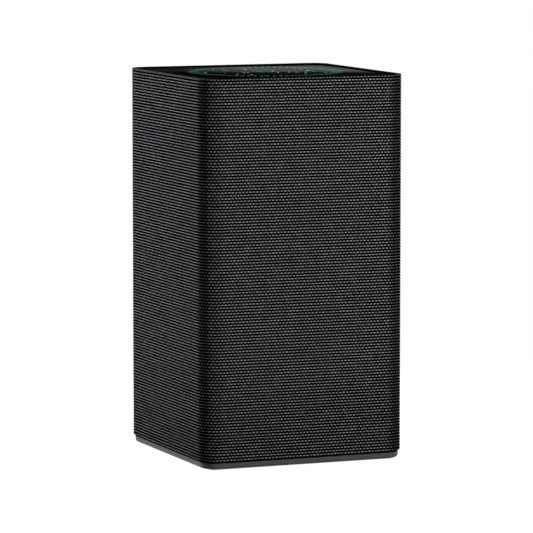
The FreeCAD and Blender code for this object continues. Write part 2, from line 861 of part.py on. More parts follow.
def port_panel():
    """The shallow plastic tray in the rear window, with a hole for each port and button."""
    body = rear_block(panel_width, panel_height, panel_corner_radius, panel_lip_back, panel_face,
                      0, panel_middle)
    lip = rear_block(panel_width + 2 * panel_lip, panel_height + 2 * panel_lip,
                     panel_corner_radius + panel_lip, panel_lip_back, inside_half_depth, 0, panel_middle)
    pocket = rear_block(panel_width - 2 * panel_wall, panel_height - 2 * panel_wall,
                        panel_corner_radius - panel_wall, panel_lip_back, panel_back, 0, panel_middle)
    body = body.fuse(lip).cut(pocket)
    for index in range(jack_count):
        body = body.cut(rear_block(jack_width + 2 * port_gap, jack_height + 2 * port_gap, port_round,
                                   panel_back, panel_face, jack_x(index), jack_row))
    round_holes = (
        (power_jack_x, power_nose_radius + port_gap),
        (sync_button_x, sync_button_radius + button_gap),
        (reset_x, pinhole_radius),
    )
    for x, radius in round_holes:
        body = body.cut(rear_rod(radius, x, button_row, panel_back, panel_face))
    size = power_button_size + 2 * button_gap
    body = body.cut(rear_block(size, size, power_button_round + button_gap, panel_back, panel_face,
                               power_button_x, button_row))
    return body


def ethernet_jack(index):
    """A shielded network jack on the board, with its plug socket and latch slot."""
    x = jack_x(index)
    body = rear_block(jack_width, jack_height, port_round, board_back, port_face, x, jack_row)
    half = socket_width / 2
    body = body.cut(block((x - half, port_face - socket_depth, socket_floor),
                          (x + half, port_face, socket_floor + socket_height)))
    half = latch_width / 2
    return body.cut(block((x - half, port_face - socket_depth, socket_floor - latch_depth),
                          (x + half, port_face, socket_floor)))


def ethernet_contacts():
    """The sprung contact wires that slant down from the back of each socket."""
    wires = []
    back = port_face - socket_depth
    ceiling = socket_floor + socket_height
    for index in range(jack_count):
        for step in range(contact_count):
            x = jack_x(index) + (step - (contact_count - 1) / 2) * contact_pitch
            half = contact_thickness / 2
            wire = block((x - half, back, ceiling - 2 * contact_thickness),
                         (x + half, back + contact_length, ceiling - contact_thickness))
            wire.rotate(V(x, back, ceiling), V(1, 0, 0), -contact_slope)
            room = block((x - contact_pitch, back, socket_floor), (x + contact_pitch, port_face, ceiling))
            wires.append(wire.common(room))
    return Part.makeCompound(wires)


def power_jack():
    """The round power inlet on its square base."""
    body = rear_block(power_jack_width, power_jack_height, port_round, board_back, panel_back - port_gap,
                      power_jack_x, button_row)
    body = body.fuse(rear_rod(power_nose_radius, power_jack_x, button_row, board_back, port_face))
    bore = rear_rod(power_bore_radius, power_jack_x, button_row, port_face - power_bore_depth, port_face)
    return body.cut(bore).removeSplitter()


def power_jack_pin():
    """The centre contact of the power inlet."""
    tip = port_face - power_pin_setback
    return rear_rod(power_pin_radius, power_jack_x, button_row, port_face - power_bore_depth, tip)


def power_switch():
    """The latching switch behind the power button."""
    face = board_back + power_switch_depth
    body = rear_block(power_switch_size, power_switch_size, port_round, board_back, face,
                      power_button_x, button_row)
    size = power_stem_size + 2 * button_gap
    depth = power_stem_reach + power_travel + 2 * button_gap
    return body.cut(rear_block(size, size, port_round, face - depth, face, power_button_x, button_row))


def power_button():
    """The square power button, its retaining flange and its stem, which ends inside the switch."""
    cap = rear_block(power_button_size, power_button_size, power_button_round, button_shoulder, button_face,
                     power_button_x, button_row)
    size = power_button_size + 2 * button_flange
    flange = rear_block(size, size, power_button_round, button_shoulder - button_flange_thickness,
                        button_shoulder, power_button_x, button_row)
    stem_end = board_back + power_switch_depth - power_stem_reach
    stem = rear_block(power_stem_size, power_stem_size, port_round, stem_end, button_shoulder,
                      power_button_x, button_row)
    return cap.fuse(flange).fuse(stem).removeSplitter()


def tact_switch(x, travel):
    """A small push switch on the board, bored for its plunger."""
    face = board_back + tact_switch_depth
    body = rear_block(tact_switch_size, tact_switch_size, port_round, board_back, face, x, button_row)
    depth = tact_plunger_sink + travel + button_gap
    return body.cut(rear_rod(tact_plunger_radius + button_gap / 2, x, button_row, face - depth, face))


def tact_plunger(x, proud):
    """The round plunger of a push switch."""
    face = board_back + tact_switch_depth
    return rear_rod(tact_plunger_radius, x, button_row, face - tact_plunger_sink, face + proud)


def sync_button():
    """The round pairing button, its retaining flange and the stem that rests on the switch's plunger."""
    cap = rear_rod(sync_button_radius, sync_button_x, button_row, button_shoulder, button_face)
    flange = rear_rod(sync_button_radius + button_flange, sync_button_x, button_row,
                      button_shoulder - button_flange_thickness, button_shoulder)
    stem_end = board_back + tact_switch_depth + tact_plunger_proud
    stem = rear_rod(sync_stem_radius, sync_button_x, button_row, stem_end, button_shoulder)
    return cap.fuse(flange).fuse(stem).removeSplitter()


# ---------------------------------------------------------------- antennas and leads
def antenna_side(index):
    """Minus one for the antennas on the left wall, plus one for those on the right."""
    return -1 if index < antennas_per_side else 1


def antenna_row(index):
    """The antenna's place along its wall: 0 is the row nearest the rear."""
    return index % antennas_per_side


def antenna(index):
    """A strip antenna on the shell's side wall."""
    side = antenna_side(index)
    middle = antenna_rear_row - antenna_row(index) * antenna_pitch
    ends = sorted((side * inside_half_width, side * (inside_half_width - antenna_thickness)))
    half = antenna_width / 2
    return block((ends[0], middle - half, antenna_bottom), (ends[1], middle + half, antenna_top))


def coax_height(index):
    """The height at which one coaxial lead runs back to the board: the front antennas' leads run lower."""
    return antenna_bottom - coax_drop - coax_drop_step * antenna_row(index)


def antenna_lead(index):
    """A coaxial lead: down the wall from its antenna, back along the wall, then in to the board."""
    wall_x = antenna_side(index) * coax_wall_x
    socket_x = antenna_side(index) * coax_socket_x
    row = antenna_rear_row - antenna_row(index) * antenna_pitch
    height = coax_height(index)
    points = [
        V(wall_x, row, antenna_bottom + coax_overlap),
        V(wall_x, row, height),
        V(wall_x, coax_turn_start, height),
        V(socket_x, coax_turn_end, height),
        V(socket_x, coax_socket_face, height),
    ]
    return tube_along(points, [coax_bend, coax_bend, coax_bend], coax_radius)


def antenna_connectors():
    """The coaxial sockets on the board's front face, one for each antenna."""
    return Part.makeCompound([
        rear_rod(coax_socket_radius, antenna_side(index) * coax_socket_x, coax_height(index),
                 coax_socket_face, board_front)
        for index in range(2 * antennas_per_side)
    ])


def cable_connectors():
    """The board's two sockets for the fan lead and the light ribbon."""
    return Part.makeCompound([
        rear_block(connector_width, connector_height, port_round, board_back, connector_face,
                   x, connector_middle)
        for x in (fan_lead_x, ribbon_x)
    ])


def fan_lead():
    """The fan's two-core lead: back from the fan, down through the deck and in to its socket."""
    height = fan_bottom + fan_height / 2
    points = [
        V(fan_lead_x, fan_size / 2, height),
        V(fan_lead_x, lead_line, height),
        V(fan_lead_x, lead_line, connector_middle),
        V(fan_lead_x, connector_face, connector_middle),
    ]
    bends = [min(lead_bend, lead_bend_room * (lead_line - end)) for end in (fan_size / 2, connector_face)]
    return tube_along(points, bends, lead_radius)


def led_ribbon():
    """The flat ribbon from the light board's rear edge, down through the deck to its socket."""
    height = (led_board_bottom + led_board_top) / 2
    half = ribbon_thickness / 2
    start_x = ribbon_x - ribbon_width / 2
    socket = connector_face

    def face_line(offset):
        """The edges of one face of the ribbon, seen from the side."""
        line = lead_line + offset
        radius = ribbon_bend + offset
        slope = radius * (1 - math.sqrt(0.5))
        upper = height + offset
        lower = connector_middle - offset
        edges = [
            Part.LineSegment(V(start_x, led_board_half, upper), V(start_x, line - radius, upper)),
            Part.Arc(V(start_x, line - radius, upper), V(start_x, line - slope, upper - slope),
                     V(start_x, line, upper - radius)),
            Part.LineSegment(V(start_x, line, upper - radius), V(start_x, line, lower + radius)),
            Part.Arc(V(start_x, line, lower + radius), V(start_x, line - slope, lower + slope),
                     V(start_x, line - radius, lower)),
            Part.LineSegment(V(start_x, line - radius, lower), V(start_x, socket, lower)),
        ]
        return [edge.toShape() for edge in edges]

    outer = face_line(half)
    inner = face_line(-half)
    top_end = Part.LineSegment(outer[0].Vertexes[0].Point, inner[0].Vertexes[0].Point).toShape()
    low_end = Part.LineSegment(outer[-1].Vertexes[-1].Point, inner[-1].Vertexes[-1].Point).toShape()
    outline = Part.Wire(Part.__sortEdges__(outer + [low_end] + inner + [top_end]))
    return Part.Face(outline).extrude(V(ribbon_width, 0, 0))


# ---------------------------------------------------------------- the finished set of pieces
pieces = {
    "fabric_sleeve": fabric_sleeve(),
    "housing_shell": housing_shell(),
    "base_plinth": base_plinth(),
    "foot_front_left": rubber_foot(-corner_screw_x, -corner_screw_y),
    "foot_front_right": rubber_foot(corner_screw_x, -corner_screw_y),
    "foot_rear_left": rubber_foot(-corner_screw_x, corner_screw_y),
    "foot_rear_right": rubber_foot(corner_screw_x, corner_screw_y),
    "rating_label": rating_label(),
    "base_screws": base_screws(),
    "top_rim": top_rim(),
    "top_cover": top_cover(),
    "outer_light_ring": light_ring(ray_count, ray_outer_radius, ray_length, ray_width),
    "inner_light_ring": light_ring(inner_ray_count, inner_ray_radius, inner_ray_length, inner_ray_width),
    "led_board": led_board(),
    "leds": leds(),
    "led_board_screws": led_board_screws(),
    "led_ribbon": led_ribbon(),
    "chassis": chassis(),
    "fan_frame": fan_frame(),
    "fan_bearing": fan_bearing(),
    "fan_stator": fan_stator(),
    "fan_rotor": fan_rotor(),
    "fan_screws": fan_screws(),
    "fan_lead": fan_lead(),
    "main_board": main_board(),
    "board_screws": board_screws(),
    "processor": chip(processor_size, processor_size, 0, chip_middle_row),
    "processor_thermal_pad": pad_on_chip(processor_size, processor_size, 0, chip_middle_row),
    "memory_chips": memory_chips(),
    "capacitors": capacitors(),
    "heatsink": heatsink(),
    "heatsink_screws": heatsink_screws(),
    "cable_connectors": cable_connectors(),
    "antenna_connectors": antenna_connectors(),
    "port_panel": port_panel(),
    "ethernet_contacts": ethernet_contacts(),
    "power_jack": power_jack(),
    "power_jack_pin": power_jack_pin(),
    "power_switch": power_switch(),
    "power_button": power_button(),
    "sync_switch": tact_switch(sync_button_x, sync_travel),
    "sync_plunger": tact_plunger(sync_button_x, tact_plunger_proud),
    "sync_button": sync_button(),
    "reset_switch": tact_switch(reset_x, reset_travel),
    "reset_plunger": tact_plunger(reset_x, reset_plunger_length),
}
for number, (place_x, place_z) in enumerate(radio_places, 1):
    pieces[f"radio_chip_{number}"] = chip(radio_chip_size, radio_chip_size, place_x, place_z)
pieces["radio_thermal_pads"] = Part.makeCompound(
    [pad_on_chip(radio_chip_size, radio_chip_size, place_x, place_z) for place_x, place_z in radio_places])
for number in range(jack_count):
    pieces[f"ethernet_jack_{number + 1}"] = ethernet_jack(number)
for number in range(2 * antennas_per_side):
    pieces[f"antenna_{number + 1}"] = antenna(number)
pieces["antenna_leads"] = Part.makeCompound([antenna_lead(number) for number in range(2 * antennas_per_side)])

os.makedirs("parts", exist_ok=True)
for name, shape in pieces.items():
    if not shape.isValid():
        raise ValueError(f"{name} isn't a valid shape")
    shape.exportStep(f"parts/{name}.step")
print(len(pieces), "pieces,", sum(len(shape.Solids) for shape in pieces.values()), "solids")
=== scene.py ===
"""Looks of a cloth-covered mesh wifi tower: its woven sleeve, lit gloss lid, plastics, ports and stage.

Lengths are in metres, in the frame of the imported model. The front faces -Y and the ports face +Y.
"""
import json
import math

import bmesh
import bpy
from bpy.props import FloatProperty, FloatVectorProperty, IntProperty, PointerProperty
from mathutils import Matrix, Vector


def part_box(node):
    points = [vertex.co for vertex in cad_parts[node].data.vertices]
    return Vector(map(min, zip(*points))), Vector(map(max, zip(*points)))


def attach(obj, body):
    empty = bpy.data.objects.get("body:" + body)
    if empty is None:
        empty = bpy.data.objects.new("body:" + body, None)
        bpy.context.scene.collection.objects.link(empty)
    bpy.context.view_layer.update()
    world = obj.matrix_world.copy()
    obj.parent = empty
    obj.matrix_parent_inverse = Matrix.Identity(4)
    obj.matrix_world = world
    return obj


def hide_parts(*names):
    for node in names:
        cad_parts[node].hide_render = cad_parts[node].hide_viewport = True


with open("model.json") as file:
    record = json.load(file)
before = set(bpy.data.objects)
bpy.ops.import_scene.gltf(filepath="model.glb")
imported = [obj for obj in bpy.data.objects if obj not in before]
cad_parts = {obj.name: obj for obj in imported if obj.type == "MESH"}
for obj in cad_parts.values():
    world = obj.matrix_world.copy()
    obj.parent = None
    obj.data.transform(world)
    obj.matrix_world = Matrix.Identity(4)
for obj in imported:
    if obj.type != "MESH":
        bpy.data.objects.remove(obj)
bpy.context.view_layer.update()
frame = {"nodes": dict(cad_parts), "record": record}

bl_info = {
    "name": "Mesh Wifi Tower",
    "version": (1, 0, 0),
    "blender": (4, 5, 0),
    "location": "View3D > Sidebar > Wifi Tower",
    "description": "Builds the cloth, the finishes and the stage of a cloth-covered mesh wifi tower",
    "category": "Object",
}

MM = 0.001
LENGTH = {"unit": "LENGTH", "precision": 5}
SHARE = {"min": 0.05, "max": 1.0, "subtype": "FACTOR"}
COLOUR = {"size": 4, "min": 0.0, "max": 1.0, "subtype": "COLOR"}
sleeve_low, sleeve_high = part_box("fabric_sleeve")
shell_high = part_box("housing_shell")[1]
cover_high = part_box("top_cover")[1]


# ------------------------ colours, nodes and materials
def linear(code):
    """A hex colour, written as it looks on screen, as the linear colour that a shader takes."""
    shown = [int(code[start:start + 2], 16) / 255 for start in (0, 2, 4)]
    return (*[part / 12.92 if part <= 0.04045 else ((part + 0.055) / 1.055) ** 2.4 for part in shown], 1.0)


WHITE = linear("FFFFFF")
NOISE_SPAN = (0.3, 0.7)  # where nearly all of a noise's values lie


def feed(tree, node, inputs):
    """Links each input that is given a socket or a node, and sets each that is given a value.

    The inputs come by name in a dict, or in order in a list.
    """
    for key, value in inputs.items() if isinstance(inputs, dict) else enumerate(inputs):
        if isinstance(value, bpy.types.Node):
            value = value.outputs[0]
        if isinstance(value, bpy.types.NodeSocket):
            tree.links.new(value, node.inputs[key])
        else:
            node.inputs[key].default_value = value


def add(tree, kind, inputs=None, **settings):
    """Adds a node with its settings. An input takes a socket or a node to link, or a value to hold.

    A range's list holds its value, where that starts and ends, and what it then gives if not 0 to 1.
    """
    node = tree.nodes.new(kind)
    for name, value in settings.items():
        setattr(node, name, value)
    feed(tree, node, inputs or {})
    return node


def empty_tree(owner):
    """The node tree of a new material or world, with nothing in it."""
    owner.use_nodes = True
    owner.node_tree.nodes.clear()
    return owner.node_tree


def start_material(name, **shading):
    """A material with one Principled surface, whose even values are set on its own sockets."""
    material = bpy.data.materials.new(name)
    tree = empty_tree(material)
    sockets = {key.replace("_", " ").title().replace("Ior", "IOR"): value for key, value in shading.items()}
    surface = add(tree, "ShaderNodeBsdfPrincipled", sockets)
    add(tree, "ShaderNodeOutputMaterial", {"Surface": surface})
    return material, tree, surface


def finish_material(name, dark, light, patch, rough, grain, relief, stretch=(1, 1, 1), **shading):
    """A finish whose colour drifts between two close shades and whose roughness and grain vary.

    patch and grain are the sizes in mm of the colour drift and of the grain, relief is the grain's height
    in mm, rough holds the lowest and highest roughness, and stretch draws the grain out along an axis.
    """
    material, tree, surface = start_material(name, **shading)
    place = add(tree, "ShaderNodeTexCoord").outputs["Object"]
    drift = add(tree, "ShaderNodeTexNoise", {"Vector": place, "Scale": 1 / (patch * MM), "Detail": 3.0})
    colour = add(tree, "ShaderNodeMix", {"Factor": drift, "A": linear(dark), "B": linear(light)},
                 data_type="RGBA")
    drawn = add(tree, "ShaderNodeMapping", {"Vector": place, "Scale": stretch})
    fine = add(tree, "ShaderNodeTexNoise", {"Vector": drawn, "Scale": 1 / (grain * MM), "Detail": 2.0})
    roughness = add(tree, "ShaderNodeMapRange", [fine, *NOISE_SPAN, *rough])
    bump = add(tree, "ShaderNodeBump", {"Height": fine, "Distance": relief * MM})
    feed(tree, surface, {"Base Color": colour.outputs["Result"], "Roughness": roughness, "Normal": bump})
    return material


def nodes_in(slot):
    """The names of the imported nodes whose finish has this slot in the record."""
    return [part["node"] for part in frame["record"]["subparts"] if part["material_slot"] == slot]


def dress(material, nodes):
    """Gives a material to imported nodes, whose shapes stay as they are."""
    for name in nodes:
        for slot in frame["nodes"][name].material_slots:
            slot.link = "OBJECT"
            slot.material = material


def dress_slots(finishes):
    """Dresses the nodes of each slot. A row holds the slot, what finish_material takes and its shading."""
    for slot, *finish, shading in finishes:
        dress(finish_material(*finish, **shading), nodes_in(slot))


def new_object(name, data):
    """A new object in the scene, at the origin."""
    made = bpy.data.objects.new(name, data)
    bpy.context.scene.collection.objects.link(made)
    return made


# ------------------------ the woven sleeve
WINDOW_WIDTH = 72.4 * MM  # the rear window for the ports
WINDOW_HEIGHT = 41.0 * MM
WINDOW_MIDDLE = 38.2 * MM  # how high its middle stands
WINDOW_RADIUS = 2.7 * MM
WINDOW_GAP = 0.2 * MM  # between its edge and the panel
BLOCK_REACH = 3 * MM  # how far its cutting block reaches past the cloth
CORNER_STEPS = 8
SIDE_STOPS = (0.0, 0.33, 0.66, 0.97)  # the points along half a flat side
BACK_POINTS = 2  # points that close the section at the back
TOUCHING = 0.001 * MM  # points nearer than this are one


def sleeve_path(half_x, half_y, radius):
    """The sleeve's outline seen from above, from the middle of the rear, round and back to its start."""
    points = []
    for turn, (reach, side) in enumerate(((half_y, half_x), (half_x, half_y)) * 2):
        flat = side - radius
        stops = [flat * share for share in SIDE_STOPS]
        angle = math.pi / 2 * (turn + 1)
        out = Vector((math.cos(angle), math.sin(angle)))
        along = Vector((-out.y, out.x))
        row = [out * reach + along * stop for stop in [-stop for stop in stops[:0:-1]] + stops]
        centre = out * (reach - radius) + along * flat
        arc = [centre + out * radius * math.cos(swing) + along * radius * math.sin(swing)
               for swing in (math.pi / 2 * index / CORNER_STEPS for index in range(CORNER_STEPS + 1))]
        points += row + arc
    start = points.index(next(point for point in points if abs(point.x) < TOUCHING and point.y > 0))
    ring = points[start:] + points[:start]
    return ring + [ring[0]]


def sleeve_tree(cloth, window, material):
    """Sweeps a ribbed section with one rib for each row of yarn round the outline, then cuts the window.

    With the tree come the values of its inputs, by the identifiers of their sockets.
    """
    tree = bpy.data.node_groups.new("Woven Sleeve", "GeometryNodeTree")
    tree.interface.new_socket("Outline", in_out="INPUT", socket_type="NodeSocketGeometry")
    inputs = (("Bottom", "Float", sleeve_low.z), ("Height", "Float", sleeve_high.z - sleeve_low.z),
              ("Rows", "Int", cloth.rows), ("Points Per Row", "Int", cloth.row_points),
              ("Stitches", "Int", cloth.stitches), ("Rib Depth", "Float", cloth.rib_depth),
              ("Thickness", "Float", cloth.thickness), ("Window", "Object", window),
              ("Cloth", "Material", material))
    values = {}
    for name, kind, value in inputs:
        socket = tree.interface.new_socket(name, in_out="INPUT", socket_type="NodeSocket" + kind)
        values[socket.identifier] = value
    tree.interface.new_socket("Sleeve", in_out="OUTPUT", socket_type="NodeSocketGeometry")
    given = add(tree, "NodeGroupInput").outputs

    # The section is a closed ring: its points climb the ribs from the hem, then come down the cloth's back.
    last = add(tree, "ShaderNodeMath", [given["Rows"], given["Points Per Row"]], operation="MULTIPLY")
    count = add(tree, "ShaderNodeMath", [last, 1.0 + BACK_POINTS], operation="ADD")
    section = add(tree, "GeometryNodeCurvePrimitiveCircle", {"Resolution": count})
    index = add(tree, "GeometryNodeInputIndex")
    inside = add(tree, "ShaderNodeMath", [index, last], operation="GREATER_THAN")
    climb = add(tree, "ShaderNodeMath", [index, last], operation="DIVIDE")
    beyond = add(tree, "ShaderNodeMath", [last, BACK_POINTS], operation="ADD")
    back = add(tree, "ShaderNodeMath", [beyond, index], operation="SUBTRACT")
    share = add(tree, "ShaderNodeMix", {"Factor": inside, "A": climb, "B": back})
    drop = add(tree, "ShaderNodeMath", [share, given["Height"]], operation="MULTIPLY")
    height = add(tree, "ShaderNodeMath", [drop, given["Bottom"]], operation="ADD")
    rows = add(tree, "ShaderNodeMath", [share, given["Rows"]], operation="MULTIPLY")
    swell = add(tree, "ShaderNodeMath", [rows, math.pi], operation="MULTIPLY")
    for operation in ("SINE", "ABSOLUTE"):
        swell = add(tree, "ShaderNodeMath", [swell], operation=operation)
    hollow = add(tree, "ShaderNodeMath", [1.0, swell], operation="SUBTRACT")
    groove = add(tree, "ShaderNodeMath", [hollow, given["Rib Depth"]], operation="MULTIPLY")
    inset = add(tree, "ShaderNodeMix", {"Factor": inside, "A": groove, "B": given["Thickness"]})
    inwards = add(tree, "ShaderNodeMath", [inset, -1.0], operation="MULTIPLY")
    upwards = add(tree, "ShaderNodeMath", [height, -1.0], operation="MULTIPLY")
    place = add(tree, "ShaderNodeCombineXYZ", {"X": inwards, "Y": upwards})
    shaped = add(tree, "GeometryNodeSetPosition", {"Geometry": section, "Position": place})

    # Each point keeps its row and its stitch, as the cloth's own map for its pattern.
    row_kept = add(tree, "GeometryNodeCaptureAttribute", {"Geometry": shaped})
    row_kept.capture_items.new("FLOAT", "Row")
    feed(tree, row_kept, {"Row": rows})
    along = add(tree, "GeometryNodeSplineParameter").outputs["Factor"]
    stitch = add(tree, "ShaderNodeMath", [along, given["Stitches"]], operation="MULTIPLY")
    stitch_kept = add(tree, "GeometryNodeCaptureAttribute", {"Geometry": given["Outline"]})
    stitch_kept.capture_items.new("FLOAT", "Stitch")
    feed(tree, stitch_kept, {"Stitch": stitch})
    level = add(tree, "GeometryNodeSetCurveNormal", {"Curve": stitch_kept}, mode="Z_UP")
    swept = add(tree, "GeometryNodeCurveToMesh", {"Curve": level, "Profile Curve": row_kept})
    weave = add(tree, "ShaderNodeCombineXYZ", {
        "X": stitch_kept.outputs["Stitch"], "Y": row_kept.outputs["Row"]})
    mapped = add(tree, "GeometryNodeStoreNamedAttribute", {
        "Geometry": swept, "Name": "Weave", "Value": weave}, data_type="FLOAT2", domain="CORNER")
    sewn = add(tree, "GeometryNodeMergeByDistance", {"Geometry": mapped, "Distance": TOUCHING})
    outwards = add(tree, "GeometryNodeFlipFaces", {"Mesh": sewn})
    block = add(tree, "GeometryNodeObjectInfo", {"Object": given["Window"]}).outputs["Geometry"]
    cut = add(tree, "GeometryNodeMeshBoolean", {"Mesh 1": outwards, "Mesh 2": block},
              operation="DIFFERENCE", solver="EXACT")
    smooth = add(tree, "GeometryNodeSetShadeSmooth", {"Geometry": cut})
    real = add(tree, "GeometryNodeRealizeInstances", {"Geometry": smooth})
    dressed = add(tree, "GeometryNodeSetMaterial", {"Geometry": real, "Material": given["Cloth"]})
    add(tree, "NodeGroupOutput", {"Sleeve": dressed})
    return tree, values


def window_block():
    """A rounded block that fills the cloth's rear window, with a gap round the port panel."""
    flat_x = WINDOW_WIDTH / 2 + WINDOW_GAP - WINDOW_RADIUS
    flat_z = WINDOW_HEIGHT / 2 + WINDOW_GAP - WINDOW_RADIUS
    ring = []
    for turn in range(4):
        sign_x = 1 if turn in (0, 3) else -1
        sign_z = 1 if turn in (0, 1) else -1
        for step in range(CORNER_STEPS + 1):
            swing = math.pi / 2 * turn + math.pi / 2 * step / CORNER_STEPS
            ring.append((sign_x * flat_x + WINDOW_RADIUS * math.cos(swing),
                         WINDOW_MIDDLE + sign_z * flat_z + WINDOW_RADIUS * math.sin(swing)))
    mesh = bmesh.new()
    near, far = [[mesh.verts.new((x, y, z)) for x, z in ring]
                 for y in (shell_high.y - BLOCK_REACH, sleeve_high.y + BLOCK_REACH)]
    mesh.faces.new(near)
    mesh.faces.new(far[::-1])
    for index in range(len(ring)):
        after = (index + 1) % len(ring)
        mesh.faces.new((near[after], near[index], far[index], far[after]))
    bmesh.ops.recalc_face_normals(mesh, faces=mesh.faces)
    block = bpy.data.meshes.new("Window Block")
    mesh.to_mesh(block)
    mesh.free()
    return block


BLACK_REACH = 0.46  # half a black yarn's length, as a share of the row
BLUNTNESS = 2.6  # the power that squares off the ends of a yarn's float
PALE_EDGE = (1.45, 0.5)  # from none to all of a yarn, counted from its middle
BLACK_EDGE = (1.2, 0.6)
STRAND_WANDER = (3.0, 9.0, 1.0)  # how finely strands wander along and across
DRIFT_SIZE = 14 * MM  # the size of the slow drift in shade
STRAND_SHADE, DRIFT_SHADE, FLOAT_SHADE, SHADE_START = 0.55, 0.3, 0.5, 0.6
DOME_REACH = 1.3  # where a pale yarn's dome meets the gap
BLACK_RISE = 0.5  # a black yarn's height, as a share of a pale one's
STRAND_RISE = 0.12  # a strand's height, in the same way
SIDES = 4
CORNER_SHADE_SPAN = (0.418, 0.586)  # where a corner's painted shade starts and ends on a side
CORNER_SHADE_STOPS = ((0.455, 0.3), (0.493, 0.32), (0.507, 0.78), (0.559, 0.78))  # the share of pale yarn left showing in that painted shade
TOP_ROW_SHADE_SPAN = (1.6 * MM, 0.9 * MM)  # where the top row's painted shade starts and is full, below the top
TOP_SHADE = 0.6
EDGE_BLEND = 0.7  # the share of the plain edge over which it is whole


def yarn_pill(tree, along, across, half_length, half_width):
    """How far a place lies from the middle of one yarn's float: 0 in the middle, 1 at its rounded edge."""
    reach = add(tree, "ShaderNodeMath", [along, 1 / half_length], operation="MULTIPLY")
    reach = add(tree, "ShaderNodeMath", [reach], operation="ABSOLUTE")
    reach = add(tree, "ShaderNodeMath", [reach, BLUNTNESS], operation="POWER")
    girth = add(tree, "ShaderNodeMath", [across, 1 / half_width], operation="MULTIPLY")
    girth = add(tree, "ShaderNodeMath", [girth, girth], operation="MULTIPLY")
    return add(tree, "ShaderNodeMath", [reach, girth], operation="ADD")


def from_middle(tree, count):
    """How far a place is from the middle of its own row or stitch, from -0.5 to 0.5."""
    part = add(tree, "ShaderNodeMath", [count], operation="FRACT")
    return add(tree, "ShaderNodeMath", [part, 0.5], operation="SUBTRACT")


